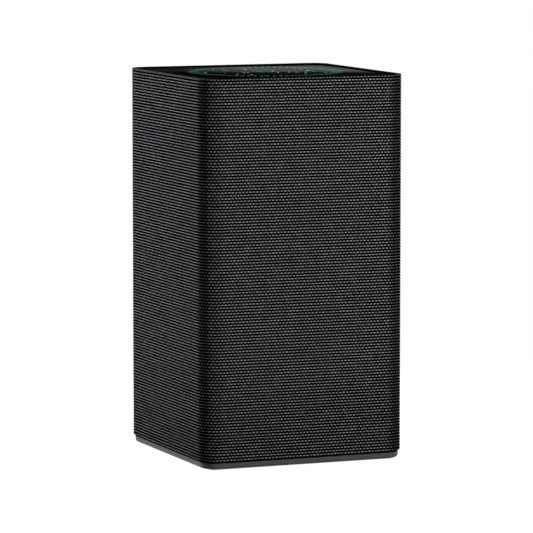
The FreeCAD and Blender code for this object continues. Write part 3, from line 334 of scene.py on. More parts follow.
def woven_cloth(cloth):
    """Woven polyester: pale yarns float in dashes, set like bricks, over thin black yarns and deep gaps."""
    material, tree, surface = start_material("Woven polyester cloth", roughness=0.8, specular_ior_level=0.0)
    weave = add(tree, "ShaderNodeSeparateXYZ", {"Vector": add(tree, "ShaderNodeUVMap", uv_map="Weave")})
    row = add(tree, "ShaderNodeMath", [weave.outputs["Y"]], operation="FLOOR")
    odd = add(tree, "ShaderNodeMath", [row, 2.0], operation="MODULO")
    shifted = add(tree, "ShaderNodeMath", [weave.outputs["X"], cloth.first_stitch], operation="SUBTRACT")
    laid = add(tree, "ShaderNodeMath", [odd, 0.5, shifted], operation="MULTIPLY_ADD")
    stitch = add(tree, "ShaderNodeMath", [laid], operation="FLOOR")
    across = from_middle(tree, weave.outputs["Y"])
    along = from_middle(tree, laid)
    # A black yarn crosses over wherever a pale one dives, half a stitch from the middle of its float.
    crossing = add(tree, "ShaderNodeMath", [along], operation="ABSOLUTE")
    crossing = add(tree, "ShaderNodeMath", [crossing, 0.5], operation="SUBTRACT")
    pale = yarn_pill(tree, along, across, cloth.float_share, cloth.yarn_share)
    black = yarn_pill(tree, crossing, across, cloth.cross_share, BLACK_REACH)

    # Each yarn is two plies twisted together, and each ply a bundle of filaments. Their twist shows as
    # slanting strands, drawn at about twice their real 0.2 mm.
    slant = add(tree, "ShaderNodeMath", [weave.outputs["Y"], cloth.twist_slant, weave.outputs["X"]],
                operation="MULTIPLY_ADD")
    spread = add(tree, "ShaderNodeCombineXYZ", {"X": slant, "Y": weave.outputs["Y"]})
    loose = add(tree, "ShaderNodeMapping", {"Vector": spread, "Scale": STRAND_WANDER})
    loose = add(tree, "ShaderNodeTexNoise", {"Vector": loose, "Scale": 1.0, "Detail": 2.0})
    turn = add(tree, "ShaderNodeMath", [slant, cloth.twists, loose], operation="MULTIPLY_ADD")
    strand = add(tree, "ShaderNodeMath", [turn, 0.5], operation="PINGPONG")
    strand = add(tree, "ShaderNodeMath", [strand, 2.0], operation="MULTIPLY")

    # Painted shade: near each upright corner less pale yarn shows, so the cloth is darker there, more on one
    # side.
    side = add(tree, "ShaderNodeMath", [weave.outputs["X"], SIDES / cloth.stitches], operation="MULTIPLY")
    side = add(tree, "ShaderNodeMath", [side], operation="FRACT")
    corner_shade = add(tree, "ShaderNodeValToRGB", {"Fac": side})
    stops = corner_shade.color_ramp.elements
    stops[0].color = stops[1].color = WHITE
    stops[0].position, stops[1].position = CORNER_SHADE_SPAN
    for position, shown in CORNER_SHADE_STOPS:
        stops.new(position).color = (shown, shown, shown, 1.0)

    # Each float's own tone at random, with a slow drift across the cloth, and darker between its strands:
    # painted shade in the twist's grooves.
    cell = add(tree, "ShaderNodeCombineXYZ", {"X": stitch, "Y": row})
    chance = add(tree, "ShaderNodeTexWhiteNoise", {"Vector": cell}, noise_dimensions="2D")
    place = add(tree, "ShaderNodeTexCoord").outputs["Object"]
    drift = add(tree, "ShaderNodeTexNoise", {"Vector": place, "Scale": 1 / DRIFT_SIZE, "Detail": 2.0})
    shade = loose
    for source, weight in ((strand, STRAND_SHADE), (drift, DRIFT_SHADE), (chance, FLOAT_SHADE)):
        shade = add(tree, "ShaderNodeMath", [source, weight, shade], operation="MULTIPLY_ADD")
    shade = add(tree, "ShaderNodeMath", [shade, SHADE_START], operation="SUBTRACT")
    spun = add(tree, "ShaderNodeMix", {
        "Factor": shade, "A": tuple(cloth.yarn_dark), "B": tuple(cloth.yarn_light)}, data_type="RGBA")
    crossed = add(tree, "ShaderNodeMapRange", [black, *BLACK_EDGE])
    backing = add(tree, "ShaderNodeMix", {
        "Factor": crossed, "A": tuple(cloth.gap_shade_colour), "B": tuple(cloth.cross_colour)}, data_type="RGBA")
    floated = add(tree, "ShaderNodeMapRange", [pale, *PALE_EDGE], interpolation_type="SMOOTHSTEP")
    shown = add(tree, "ShaderNodeMath", [floated, corner_shade.outputs["Color"]], operation="MULTIPLY")
    colour = add(tree, "ShaderNodeMix", {
        "Factor": shown, "A": backing.outputs["Result"], "B": spun.outputs["Result"]}, data_type="RGBA")
    # Painted shade: the top row is made dimmer, and the cloth is made darker towards the hem.
    rise = add(tree, "ShaderNodeSeparateXYZ", {"Vector": place}).outputs["Z"]
    top = sleeve_high.z
    top_row_shade = add(tree, "ShaderNodeMapRange", [rise, top - TOP_ROW_SHADE_SPAN[0], top - TOP_ROW_SHADE_SPAN[1], 1.0, TOP_SHADE])
    drawn = add(tree, "ShaderNodeMapRange", [
        rise, sleeve_low.z, sleeve_low.z + cloth.hem_fade, cloth.hem_shade])
    dimmed = add(tree, "ShaderNodeMath", [top_row_shade, drawn], operation="MULTIPLY")
    colour = add(tree, "ShaderNodeVectorMath", {0: colour.outputs["Result"], "Scale": dimmed},
                 operation="SCALE")
    # Painted highlight: on the sides facing ±X, a plain grey band along the top stands for the lit top edge.
    facing = add(tree, "ShaderNodeNewGeometry").outputs["True Normal"]
    facing = add(tree, "ShaderNodeSeparateXYZ", {"Vector": facing})
    sideways = add(tree, "ShaderNodeMath", [facing.outputs["X"]], operation="ABSOLUTE")
    side_edge_highlight = add(tree, "ShaderNodeMapRange", [rise, top - cloth.edge, top - cloth.edge * EDGE_BLEND])
    side_edge_highlight = add(tree, "ShaderNodeMath", [side_edge_highlight, sideways], operation="MULTIPLY")
    colour = add(tree, "ShaderNodeMix", {"Factor": side_edge_highlight, "A": colour, "B": tuple(cloth.edge_highlight_colour)},
                 data_type="RGBA")

    # Both yarns are round, so each float is a low dome, and the strands stand out on it.
    dome = add(tree, "ShaderNodeMapRange", [pale, DOME_REACH, 0.0])
    dome = add(tree, "ShaderNodeMath", [dome, 0.5], operation="POWER")
    under = add(tree, "ShaderNodeMapRange", [black, BLACK_EDGE[0], 0.0, 0.0, BLACK_RISE])
    height = add(tree, "ShaderNodeMath", [dome, under], operation="MAXIMUM")
    height = add(tree, "ShaderNodeMath", [strand, STRAND_RISE, height], operation="MULTIPLY_ADD")
    bump = add(tree, "ShaderNodeBump", {"Height": height, "Distance": cloth.dive_depth})
    feed(tree, surface, {"Base Color": colour.outputs["Result"], "Normal": bump})
    return material


class ClothSettings(bpy.types.PropertyGroup):
    """Sizes and colours of the woven sleeve."""
    rows: IntProperty(
        name="Rows", description="Rows of yarn from the lower hem to the rim", default=130, min=1)
    stitches: IntProperty(
        name="Stitches", description="Floats in one row, all the way round", default=225, min=3)
    first_stitch: FloatProperty(
        name="First Stitch", description="Where the first float starts, in stitches", default=0.35)
    row_points: IntProperty(
        name="Points per Row", description="Points that shape one row's rib", default=6, min=2)
    rib_depth: FloatProperty(
        name="Rib Depth", description="How far the valleys between rows lie below the yarns",
        default=0.3 * MM, **LENGTH)
    thickness: FloatProperty(
        name="Thickness", description="From the yarns' crests to the cloth's back",
        default=1.2 * MM, **LENGTH)
    dive_depth: FloatProperty(
        name="Dive Depth", description="How far a yarn sinks at the ends of a float",
        default=0.35 * MM, **LENGTH)
    corner_radius: FloatProperty(
        name="Corner Radius", description="Radius of the tower's upright corners", default=9.1 * MM, **LENGTH)
    float_share: FloatProperty(
        name="Float Share", description="Half a float's length, as a share of the stitch",
        default=0.36, **SHARE)
    yarn_share: FloatProperty(
        name="Yarn Share", description="Half the yarn's width, as a share of the row", default=0.21, **SHARE)
    cross_share: FloatProperty(
        name="Crossing Share", description="Half a black yarn's width, as a share of the stitch",
        default=0.14, **SHARE)
    twists: FloatProperty(
        name="Twists", description="Turns of a yarn's two plies in one stitch", default=5.0, min=0.0)
    twist_slant: FloatProperty(
        name="Twist Slant", description="How far a strand runs along the row as it crosses it", default=0.8)
    # The darkening towards the hem is painted shade.
    hem_fade: FloatProperty(
        name="Hem Fade", description="How far up from the hem the cloth is darker", default=55 * MM, **LENGTH)
    hem_shade: FloatProperty(
        name="Hem Shade", description="Brightness of the cloth at the hem", default=0.74, min=0.0, max=1.0)
    # The plain edge along the top is a painted highlight on the sides.
    edge: FloatProperty(
        name="Edge", description="Height of the plain edge along the top", default=0.6 * MM, **LENGTH)
    edge_highlight_colour: FloatVectorProperty(
        name="Edge Colour", description="Colour of that edge", default=linear("404043"), **COLOUR)
    yarn_light: FloatVectorProperty(
        name="Light Yarn", description="Colour of the lightest yarns", default=linear("9B99A0"), **COLOUR)
    yarn_dark: FloatVectorProperty(
        name="Dark Yarn", description="Colour of the darkest yarns", default=linear("67686C"), **COLOUR)
    cross_colour: FloatVectorProperty(
        name="Black Yarn", description="Colour of the yarns that cross over",
        default=linear("161618"), **COLOUR)
    # Partly the black shell behind the weave, partly painted shade deep in the holes between the yarns.
    gap_shade_colour: FloatVectorProperty(
        name="Gap", description="Colour between the yarns", default=linear("020203"), **COLOUR)


class WIFITOWER_OT_sleeve(bpy.types.Operator):
    """Weaves the cloth sleeve round the shell"""
    bl_idname = "wifi_tower.sleeve"
    bl_label = "Weave the Sleeve"

    def execute(self, context):
        cloth = context.scene.tower_cloth
        curve = bpy.data.curves.new("Sleeve Outline", "CURVE")
        curve.dimensions = "3D"
        spline = curve.splines.new("POLY")
        outline = sleeve_path(sleeve_high.x, sleeve_high.y, cloth.corner_radius)
        spline.points.add(len(outline) - 1)
        for point, place in zip(spline.points, outline):
            point.co = (place.x, place.y, 0.0, 1.0)
        guide = new_object("sleeve_outline", curve)
        window = new_object("sleeve_window", window_block())
        tree, values = sleeve_tree(cloth, window, woven_cloth(cloth))
        modifier = guide.modifiers.new("Woven Sleeve", "NODES")
        modifier.node_group = tree
        for identifier, value in values.items():
            modifier[identifier] = value
        graph = context.evaluated_depsgraph_get()
        mesh = bpy.data.meshes.new_from_object(guide.evaluated_get(graph), depsgraph=graph)
        mesh.name = "woven_sleeve"
        for helper in (guide, window):
            bpy.data.objects.remove(helper)
        sleeve = new_object("woven_sleeve", mesh)
        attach(sleeve, "tower")
        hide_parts("fabric_sleeve")
        return {"FINISHED"}


# ------------------------ the lid, its lights and the rim
RING_RADIUS = 40.8 * MM  # out to the tips of the outer rays
HOLE_LIP = 0.15 * MM  # height of the band at the top of an air hole's wall that takes a painted glint
GLINT_CELL = 1.2 * MM  # about the width of one painted glint
WIPE_SIZE = 30 * MM  # the size of the wipe marks
LID_ROUGH = (0.02, 0.06)
CLOUD_SIZE = 9 * MM  # the size of the milky clouds in a light guide
ACRYLIC_IOR = 1.49
CENTRE_BOOST = 2.2  # the middle motif's glow, next to that of the outer rays
UPRIGHT = 0.5  # a face whose normal rises by less than this is a wall


class LidSettings(bpy.types.PropertyGroup):
    """Finish of the gloss lid and colour of its light rays."""
    crown: FloatProperty(
        name="Crown", description="How far the moulded lid's middle stands above its edges",
        default=0.35 * MM, **LENGTH)
    ray_colour: FloatVectorProperty(
        name="Ray Colour", description="Colour of the lit rays", default=linear("2F8A78"), **COLOUR)
    ray_glow: FloatProperty(
        name="Ray Glow", description="Strength of the rays' own light", default=0.5, min=0.0)
    # The teal in the air holes and the glints on their lips are painted light, given as the lid's own glow.
    spill_colour: FloatVectorProperty(
        name="Spill Colour", description="Colour of the light in the air holes",
        default=linear("4FB8A8"), **COLOUR)
    spill_glow: FloatProperty(
        name="Spill Glow", description="Strength of the light in the air holes", default=0.14, min=0.0)
    spill_radius: FloatProperty(
        name="Spill Radius", description="How far from the middle the air holes are lit",
        default=33.5 * MM, **LENGTH)
    glint_share: FloatProperty(
        name="Glint Share", description="Share of the air holes whose lips catch the light",
        default=0.055, min=0.0, max=1.0)
    glint_glow: FloatProperty(
        name="Glint Glow", description="Strength of the light caught by those lips", default=0.9, min=0.0)
    # Painted light: the glow of the rays and the air holes rises towards this side.
    bright_side: FloatProperty(
        name="Bright Side", description="Where the lamps are brightest, clockwise from the back",
        default=math.radians(35), subtype="ANGLE")
    dim_glow: FloatProperty(
        name="Dim Glow", description="Share of the rays' light where the lamps are dimmest",
        default=0.35, min=0.0)
    bright_glow: FloatProperty(
        name="Bright Glow", description="Share of the rays' light where they are brightest",
        default=2.2, min=0.0)


def painted_side_glow(tree, place, lid):
    """How far the glow is painted up at a place: 0 on the dim side, rising ever faster to 1 on the other."""
    way = (math.sin(lid.bright_side), math.cos(lid.bright_side), 0.0)
    along = add(tree, "ShaderNodeVectorMath", [place, way], operation="DOT_PRODUCT")
    across = add(tree, "ShaderNodeMapRange", [along.outputs["Value"], -RING_RADIUS, RING_RADIUS])
    return add(tree, "ShaderNodeMath", [across, 2.0], operation="POWER")


def gloss_lid(lid):
    """Polished black acrylic: deep black, mirrors the room, with a slight crown and faint wipe marks."""
    material, tree, surface = start_material("Polished black acrylic", ior=ACRYLIC_IOR, emission_strength=1.0)
    place = add(tree, "ShaderNodeTexCoord").outputs["Object"]
    flat = add(tree, "ShaderNodeVectorMath", [place, (1.0, 1.0, 0.0)], operation="MULTIPLY")
    away = add(tree, "ShaderNodeVectorMath", [flat, flat.outputs[0]], operation="DOT_PRODUCT")
    dome = add(tree, "ShaderNodeMath", [away.outputs["Value"], -lid.crown / cover_high.x ** 2],
               operation="MULTIPLY")
    crown = add(tree, "ShaderNodeBump", {"Height": dome, "Distance": 1.0})
    wiped = add(tree, "ShaderNodeTexNoise", {"Vector": place, "Scale": 1 / WIPE_SIZE, "Detail": 3.0})
    colour = add(tree, "ShaderNodeMix", {"Factor": wiped, "A": linear("020203"), "B": linear("060607")},
                 data_type="RGBA")
    roughness = add(tree, "ShaderNodeMapRange", [wiped, 0.0, 1.0, *LID_ROUGH])
    # Painted light: inside the ring of rays, the upright walls of the air holes get a teal glow of their own.
    facing = add(tree, "ShaderNodeNewGeometry").outputs["True Normal"]
    facing = add(tree, "ShaderNodeSeparateXYZ", {"Vector": facing})
    upright = add(tree, "ShaderNodeMath", [facing.outputs["Z"]], operation="ABSOLUTE")
    upright = add(tree, "ShaderNodeMath", [upright, UPRIGHT], operation="LESS_THAN")
    reach = add(tree, "ShaderNodeVectorMath", [flat], operation="LENGTH")
    inner = add(tree, "ShaderNodeMath", [reach.outputs["Value"], lid.spill_radius], operation="LESS_THAN")
    spilled = add(tree, "ShaderNodeMath", [upright, inner], operation="MULTIPLY")
    spread = add(tree, "ShaderNodeMath", [painted_side_glow(tree, place, lid), lid.spill_glow], operation="MULTIPLY")
    painted_spill = add(tree, "ShaderNodeVectorMath", {0: tuple(lid.spill_colour)[:3], "Scale": spread},
                operation="SCALE")
    # Painted glints: the top of the walls of some holes, taken at random by place, gets a pale light of its
    # own.
    cell = add(tree, "ShaderNodeVectorMath", [flat, (GLINT_CELL, GLINT_CELL, 1.0)], operation="SNAP")
    chance = add(tree, "ShaderNodeTexWhiteNoise", {"Vector": cell})
    glint = add(tree, "ShaderNodeMath", [chance, lid.glint_share], operation="LESS_THAN")
    height = add(tree, "ShaderNodeSeparateXYZ", {"Vector": place}).outputs["Z"]
    lip = add(tree, "ShaderNodeMath", [height, cover_high.z - HOLE_LIP], operation="GREATER_THAN")
    glint = add(tree, "ShaderNodeMath", [glint, lip], operation="MULTIPLY")
    painted_glint = add(tree, "ShaderNodeMath", [glint, lid.glint_glow], operation="MULTIPLY")
    light = add(tree, "ShaderNodeVectorMath", [painted_spill, painted_glint], operation="ADD")
    light = add(tree, "ShaderNodeVectorMath", {0: light, "Scale": spilled}, operation="SCALE")
    feed(tree, surface, {"Emission Color": light, "Base Color": colour.outputs["Result"],
                         "Roughness": roughness, "Normal": crown})
    return material


def light_guide(name, lid, boost):
    """Teal acrylic light guide: milky inside, so that it glows from its own lamps."""
    material, tree, surface = start_material(
        name, roughness=0.3, ior=ACRYLIC_IOR, emission_strength=lid.ray_glow * boost)
    place = add(tree, "ShaderNodeTexCoord").outputs["Object"]
    cloud = add(tree, "ShaderNodeTexNoise", {"Vector": place, "Scale": 1 / CLOUD_SIZE, "Detail": 2.0})
    colour = add(tree, "ShaderNodeMix", {"Factor": cloud, "A": linear("0F3229"), "B": linear("1E6355")},
                 data_type="RGBA")
    # Painted light: the rays' glow is made brighter towards the lid's bright side.
    lit = painted_side_glow(tree, place, lid)
    glow = add(tree, "ShaderNodeMath", [lit, lid.bright_glow - lid.dim_glow, lid.dim_glow],
               operation="MULTIPLY_ADD")
    light = add(tree, "ShaderNodeVectorMath", {0: tuple(lid.ray_colour)[:3], "Scale": glow},
                operation="SCALE")
    feed(tree, surface, {"Base Color": colour.outputs["Result"], "Emission Color": light})
    return material


LAMP_FINISHES = (
    # Clear resin over a phosphor: a pale yellow body with a wet shine.
    ("led_lens", "Cast clear resin", "C9CBA0", "E4E4C4", 1.0, (0.1, 0.2), 0.3, 0.004, {}),
)


class WIFITOWER_OT_lid(bpy.types.Operator):
    """Finishes the gloss lid, its light rays and the lamps under it"""
    bl_idname = "wifi_tower.lid"
    bl_label = "Finish the Lid"

    def execute(self, context):
        lid = context.scene.tower_lid
        dress(gloss_lid(lid), nodes_in("gloss_black_plastic"))
        dress(light_guide("Moulded teal acrylic", lid, 1.0), ["outer_light_ring"])
        dress(light_guide("Moulded teal acrylic centre", lid, CENTRE_BOOST), ["inner_light_ring"])
        dress_slots(LAMP_FINISHES)
        return {"FINISHED"}


# ------------------------ plastics, rubber, paper and film
METAL = {"metallic": 1.0}

HOUSING_FINISHES = (
    # Plain ABS behind the cloth: dull black, blasted so that it shows no shine through the weave.
    ("shell_plastic", "Blasted plain ABS", "080809", "0E0E0F", 18.0, (0.8, 0.95), 0.4, 0.01,
     {"specular_ior_level": 0.0}),
    # Silicone rubber: soft, matt and slightly dusty, with no clear reflection.
    ("foot_rubber", "Moulded silicone rubber", "1A1A1B", "262627", 3.0, (0.7, 0.9), 0.2, 0.012, {}),
    # Matt polyester label: light grey film with a smooth, slightly waxy face.
    ("label_film", "Matt polyester label film", "8C8C8E", "98989A", 6.0, (0.45, 0.55), 0.15, 0.002, {}),
    # Zinc-plated steel: bluish silver with the plating's soft streaks.
    ("zinc_screw", "Zinc-plated steel", "A5A7AA", "BDBFC2", 1.2, (0.25, 0.4), 0.15, 0.003, METAL),
)


class WIFITOWER_OT_housing(bpy.types.Operator):
    """Finishes the rim, plinth, shell, feet, label and screws"""
    bl_idname = "wifi_tower.housing"
    bl_label = "Finish the Housing"

    def execute(self, context):
        # Spark-textured ABS: satin black, with a fine even grain that breaks up its reflections.
        # Painted sheen: its mid grey, lighter than black ABS, stands in for the satin face's reflections.
        dress(finish_material("Spark-textured satin ABS", "404042", "484849", 20.0, (0.3, 0.42), 0.25, 0.006,
                              specular_ior_level=0.1), ["base_plinth"])
        # Soft-touch paint: a rubbery film over ABS that swallows light and leaves the rim a plain black.
        dress(finish_material("Soft-touch painted ABS", "060607", "0A0A0B", 15.0, (0.6, 0.75), 0.3, 0.006,
                              specular_ior_level=0.05), ["top_rim"])
        # The port panel is the same satin ABS, moulded in a deeper black.
        dress(finish_material("Moulded satin ABS", "131314", "1A1A1B", 20.0, (0.35, 0.48), 0.25, 0.006),
              ["port_panel"])
        dress_slots(HOUSING_FINISHES)
        return {"FINISHED"}


PORT_FINISHES = (
    # Nickel-plated steel shields: warm silver, drawn along the strip they were pressed from.
    ("nickel_plate", "Nickel-plated pressed steel", "A8A39A", "C4BFB5", 4.0, (0.22, 0.38), 0.35, 0.004,
     {"stretch": (1, 1, 0.08), **METAL}),
    # Gold flash on bronze: a clean yellow metal.
    ("gold_plate", "Gold-plated spring bronze", "C99A3E", "DDB45A", 0.6, (0.18, 0.28), 0.2, 0.002, METAL),
    # Glass-filled nylon jack bodies: black with a faint fibrous mottle.
    ("jack_plastic", "Moulded glass-filled nylon", "121213", "1E1E20", 1.5, (0.45, 0.6), 0.2, 0.008, {}),
    # Buttons in polished ABS, worn slightly smoother by fingers in places.
    ("button_plastic", "Moulded semi-gloss ABS", "26262A", "303034", 5.0, (0.16, 0.3), 0.8, 0.003, {}),
)


class WIFITOWER_OT_ports(bpy.types.Operator):
    """Finishes the network jacks, the power inlet and the buttons"""
    bl_idname = "wifi_tower.ports"
    bl_label = "Finish the Ports and Buttons"

    def execute(self, context):
        dress_slots(PORT_FINISHES)
        return {"FINISHED"}


# ------------------------ the inside
TRACK_EDGE = (0.06, 0.1)  # from a track's middle to where it softens and ends, in cells of the pattern
TRACK_RISE = 0.03 * MM
MASK_ROUGH = (0.32, 0.22)  # between the tracks and on them


def solder_mask(name, dark, light, track):
    """Solder mask over copper: tracks show as a lighter tone of the mask and stand a hair proud."""
    material, tree, surface = start_material(name, ior=1.52)
    place = add(tree, "ShaderNodeTexCoord").outputs["Object"]
    cells = add(tree, "ShaderNodeTexVoronoi", {"Vector": place, "Scale": 1 / (track * MM)},
                distance="MANHATTAN", feature="DISTANCE_TO_EDGE")
    line = add(tree, "ShaderNodeMapRange", [cells, *TRACK_EDGE, 1.0, 0.0])
    colour = add(tree, "ShaderNodeMix", {"Factor": line, "A": linear(dark), "B": linear(light)},
                 data_type="RGBA")
    bump = add(tree, "ShaderNodeBump", {"Height": line, "Distance": TRACK_RISE})
    roughness = add(tree, "ShaderNodeMapRange", [line, 0.0, 1.0, *MASK_ROUGH])
    feed(tree, surface, {"Base Color": colour.outputs["Result"], "Roughness": roughness, "Normal": bump})
    return material


INSIDE_FINISHES = (
    # Epoxy chip bodies: dull charcoal with a sandy mould texture.
    ("chip_epoxy", "Moulded chip epoxy", "1C1C1E", "262628", 2.0, (0.5, 0.65), 0.1, 0.004, {}),
    # Gap-filler pads: soft blue-grey putty.
    ("thermal_pad", "Silicone gap filler", "7E8794", "8E97A4", 3.0, (0.75, 0.9), 0.3, 0.01, {}),
    # Capacitor sleeves: glossy shrunk film over an aluminium can.
    ("capacitor_sleeve", "Shrunk polyester sleeve", "10122A", "181B38", 4.0, (0.15, 0.25), 0.5, 0.003, {}),
    # White nylon sockets, slightly yellow and waxy.
    ("white_nylon", "Moulded natural nylon", "D6D2C4", "E2DFD3", 3.0, (0.35, 0.5), 0.2, 0.004, {}),
    # Ribbon film: pale grey polyester over its copper strips.
    ("ribbon_film", "Laminated ribbon film", "BDBCB6", "CFCEC9", 2.0, (0.25, 0.35), 0.6, 0.004, {}),
    # Leads: smooth black sheath.
    ("lead_sheath", "Extruded lead sheath", "121214", "1C1C1F", 5.0, (0.35, 0.5), 0.3, 0.004, {}),
    # Chassis: dark grey glass-filled resin, drier than the outside parts.
    ("chassis_plastic", "Moulded glass-filled resin", "2B2B2E", "343438", 12.0, (0.55, 0.7), 0.4, 0.012, {}),
    # Cast aluminium: pale, with a dry sandy skin.
    ("cast_aluminium", "Cast aluminium", "A2A4A6", "B8BABC", 6.0, (0.4, 0.55), 0.35, 0.02, METAL),
)


class WIFITOWER_OT_electronics(bpy.types.Operator):
    """Finishes the boards, chips, cooling, antennas and leads"""
    bl_idname = "wifi_tower.electronics"
    bl_label = "Finish the Electronics"

    def execute(self, context):
        dress(solder_mask("Green solder mask on glass epoxy", "0B3B22", "14532F", 2.5),
              nodes_in("circuit_board"))
        dress(solder_mask("Blue solder mask on glass epoxy", "0B2440", "123559", 2.0),
              nodes_in("antenna_board"))
        dress_slots(INSIDE_FINISHES)
        return {"FINISHED"}


FAN_FINISHES = (
    # Fan mouldings: smooth black PBT with a low sheen.
    ("fan_plastic", "Moulded PBT", "131314", "1C1C1E", 8.0, (0.35, 0.5), 0.5, 0.006, {}),
    # Sintered bronze: porous and dull, soaked with oil.
    ("bearing_bronze", "Sintered bronze", "7E5A32", "96703F", 0.8, (0.4, 0.55), 0.1, 0.01, METAL),
    # Stacked steel laminations: fine level lines.
    ("motor_core", "Stacked steel laminations", "5A4A40", "7B6A5C", 3.0, (0.3, 0.45), 0.5, 0.02,
     {"stretch": (0.05, 0.05, 1), **METAL}),
)


class WIFITOWER_OT_fan(bpy.types.Operator):
    """Finishes the fan and its motor"""
    bl_idname = "wifi_tower.fan"
    bl_label = "Finish the Fan"

    def execute(self, context):
        dress_slots(FAN_FINISHES)
        return {"FINISHED"}


# ------------------------ the stage
SENSOR_WIDTH = 36.0  # in millimetres, as the lens is
CLIP_NEAR, CLIP_FAR = 0.05, 50.0
LAMP_LENGTH = 1.2
LAMPS_AIM = Vector((0.0, 0.0, 0.1))  # half way up the tower
FLOOR_GLOW = 0.86  # the light that brings the lit floor up to white
SIDE_SHADOW = (6 * MM, 3 * MM)  # how far inside the shell it starts and is full
FRONT_SHADOW = (4.1 * MM, 2.5 * MM)
EVEN_FLOOR = (0.15, 0.4)  # where the floor turns an even white
# What a mirror shows low down: a pale band, bright only on the +X side, under a dark room.
BAND_SIDE = (0.358, 0.375)  # where it turns bright, along X in the ray's direction
BAND_LIGHT = (0.015, 0.122)
BAND_TOP = (0.0585, 0.063)  # where it fades upwards, along Z
ROOM_LIGHT = 0.001
CEILING_RISE = (0.3, 0.9)
CEILING_LIGHT = 0.6


class StageSettings(bpy.types.PropertyGroup):
    """Camera, lamps and floor."""
    azimuth: FloatProperty(
        name="Azimuth", description="Where the camera stands round the tower",
        default=math.radians(-22.331), subtype="ANGLE")
    elevation: FloatProperty(
        name="Elevation", description="How far the camera looks down",
        default=math.radians(6.343), subtype="ANGLE")
    distance: FloatProperty(
        name="Distance", description="From the camera to the point it looks at",
        default=2.0288, unit="LENGTH")
    target: FloatVectorProperty(
        name="Target", description="The point that the camera looks at",
        default=(0.00085, 0.0, 0.0971), subtype="TRANSLATION", precision=5)
    lens: FloatProperty(name="Lens", description="Focal length in millimetres", default=261.1, min=1.0)
    floor_size: FloatProperty(
        name="Floor Size", description="Half the floor's width", default=12.0, unit="LENGTH")
    left_power: FloatProperty(
        name="Left Lamp", description="Power of the softbox behind on the left", default=37.0, unit="POWER")
    front_power: FloatProperty(
        name="Front Lamp", description="Power of the softbox in front on the right",
        default=27.1, unit="POWER")
    top_power: FloatProperty(
        name="Top Lamp", description="Power of the overhead softbox", default=4.0, unit="POWER")
    fill: FloatProperty(name="Fill", description="Even light from all round", default=0.06, min=0.0)


def softbox(name, power, azimuth, height, distance, width):
    """A rectangular lamp that faces the tower from one side."""
    lamp = bpy.data.lights.new(name, "AREA")
    lamp.shape = "RECTANGLE"
    lamp.size = width
    lamp.size_y = LAMP_LENGTH
    lamp.energy = power
    holder = new_object(name, lamp)
    angle = math.radians(azimuth)
    holder.location = (distance * math.sin(angle), -distance * math.cos(angle), height)
    aim = LAMPS_AIM - Vector(holder.location)
    holder.rotation_euler = aim.to_track_quat("-Z", "Y").to_euler()
    holder.visible_camera = holder.visible_glossy = False


def seen_share(tree):
    """1 for rays that show a surface itself: from the camera, mirrored, or through something clear."""
    rays = add(tree, "ShaderNodeLightPath").outputs
    mirrored = add(tree, "ShaderNodeMath", [rays["Is Camera Ray"], rays["Is Glossy Ray"]],
                   operation="MAXIMUM")
    return add(tree, "ShaderNodeMath", [mirrored, rays["Is Transmission Ray"]], operation="MAXIMUM")


def floor_paint():
    """Matt white paper: dark only under the tower, lit up to white around it, and an even white farther out.

    Rays that only carry light meet a dull grey instead, so that the floor casts little light on the tower.
    """
    material = bpy.data.materials.new("Matt white paper")
    tree = empty_tree(material)
    place = add(tree, "ShaderNodeTexCoord").outputs["Object"]
    fibre = add(tree, "ShaderNodeTexNoise", {"Vector": place, "Scale": 1 / (4 * MM), "Detail": 2.0})
    tone = add(tree, "ShaderNodeMix", {"Factor": fibre, "A": linear("A0A0A0"), "B": linear("A8A8A8")},
               data_type="RGBA")
    paper = add(tree, "ShaderNodeBsdfDiffuse", {"Color": tone.outputs["Result"]})
    spread = add(tree, "ShaderNodeVectorMath", [place], operation="ABSOLUTE")
    spread = add(tree, "ShaderNodeSeparateXYZ", {"Vector": spread})
    beside, before = [
        add(tree, "ShaderNodeMapRange", [
            spread.outputs[axis], half - shadow[0], half - shadow[1], 0.0, FLOOR_GLOW])
        for axis, half, shadow in (("X", shell_high.x, SIDE_SHADOW), ("Y", shell_high.y, FRONT_SHADOW))]
    clear = add(tree, "ShaderNodeMath", [beside, before], operation="MAXIMUM")
    lift = add(tree, "ShaderNodeEmission", {"Strength": clear})
    near = add(tree, "ShaderNodeAddShader", [paper, lift])
    white = add(tree, "ShaderNodeEmission", {"Strength": 1.0})
    away = add(tree, "ShaderNodeVectorMath", [place], operation="LENGTH")
    fade = add(tree, "ShaderNodeMapRange", [away.outputs["Value"], *EVEN_FLOOR],
               interpolation_type="SMOOTHSTEP")
    shown = add(tree, "ShaderNodeMixShader", [fade, near, white])
    dull = add(tree, "ShaderNodeBsdfDiffuse", {"Color": linear("141414")})
    seen = add(tree, "ShaderNodeMixShader", [seen_share(tree), dull, shown])
    add(tree, "ShaderNodeOutputMaterial", {"Surface": seen})
    return material


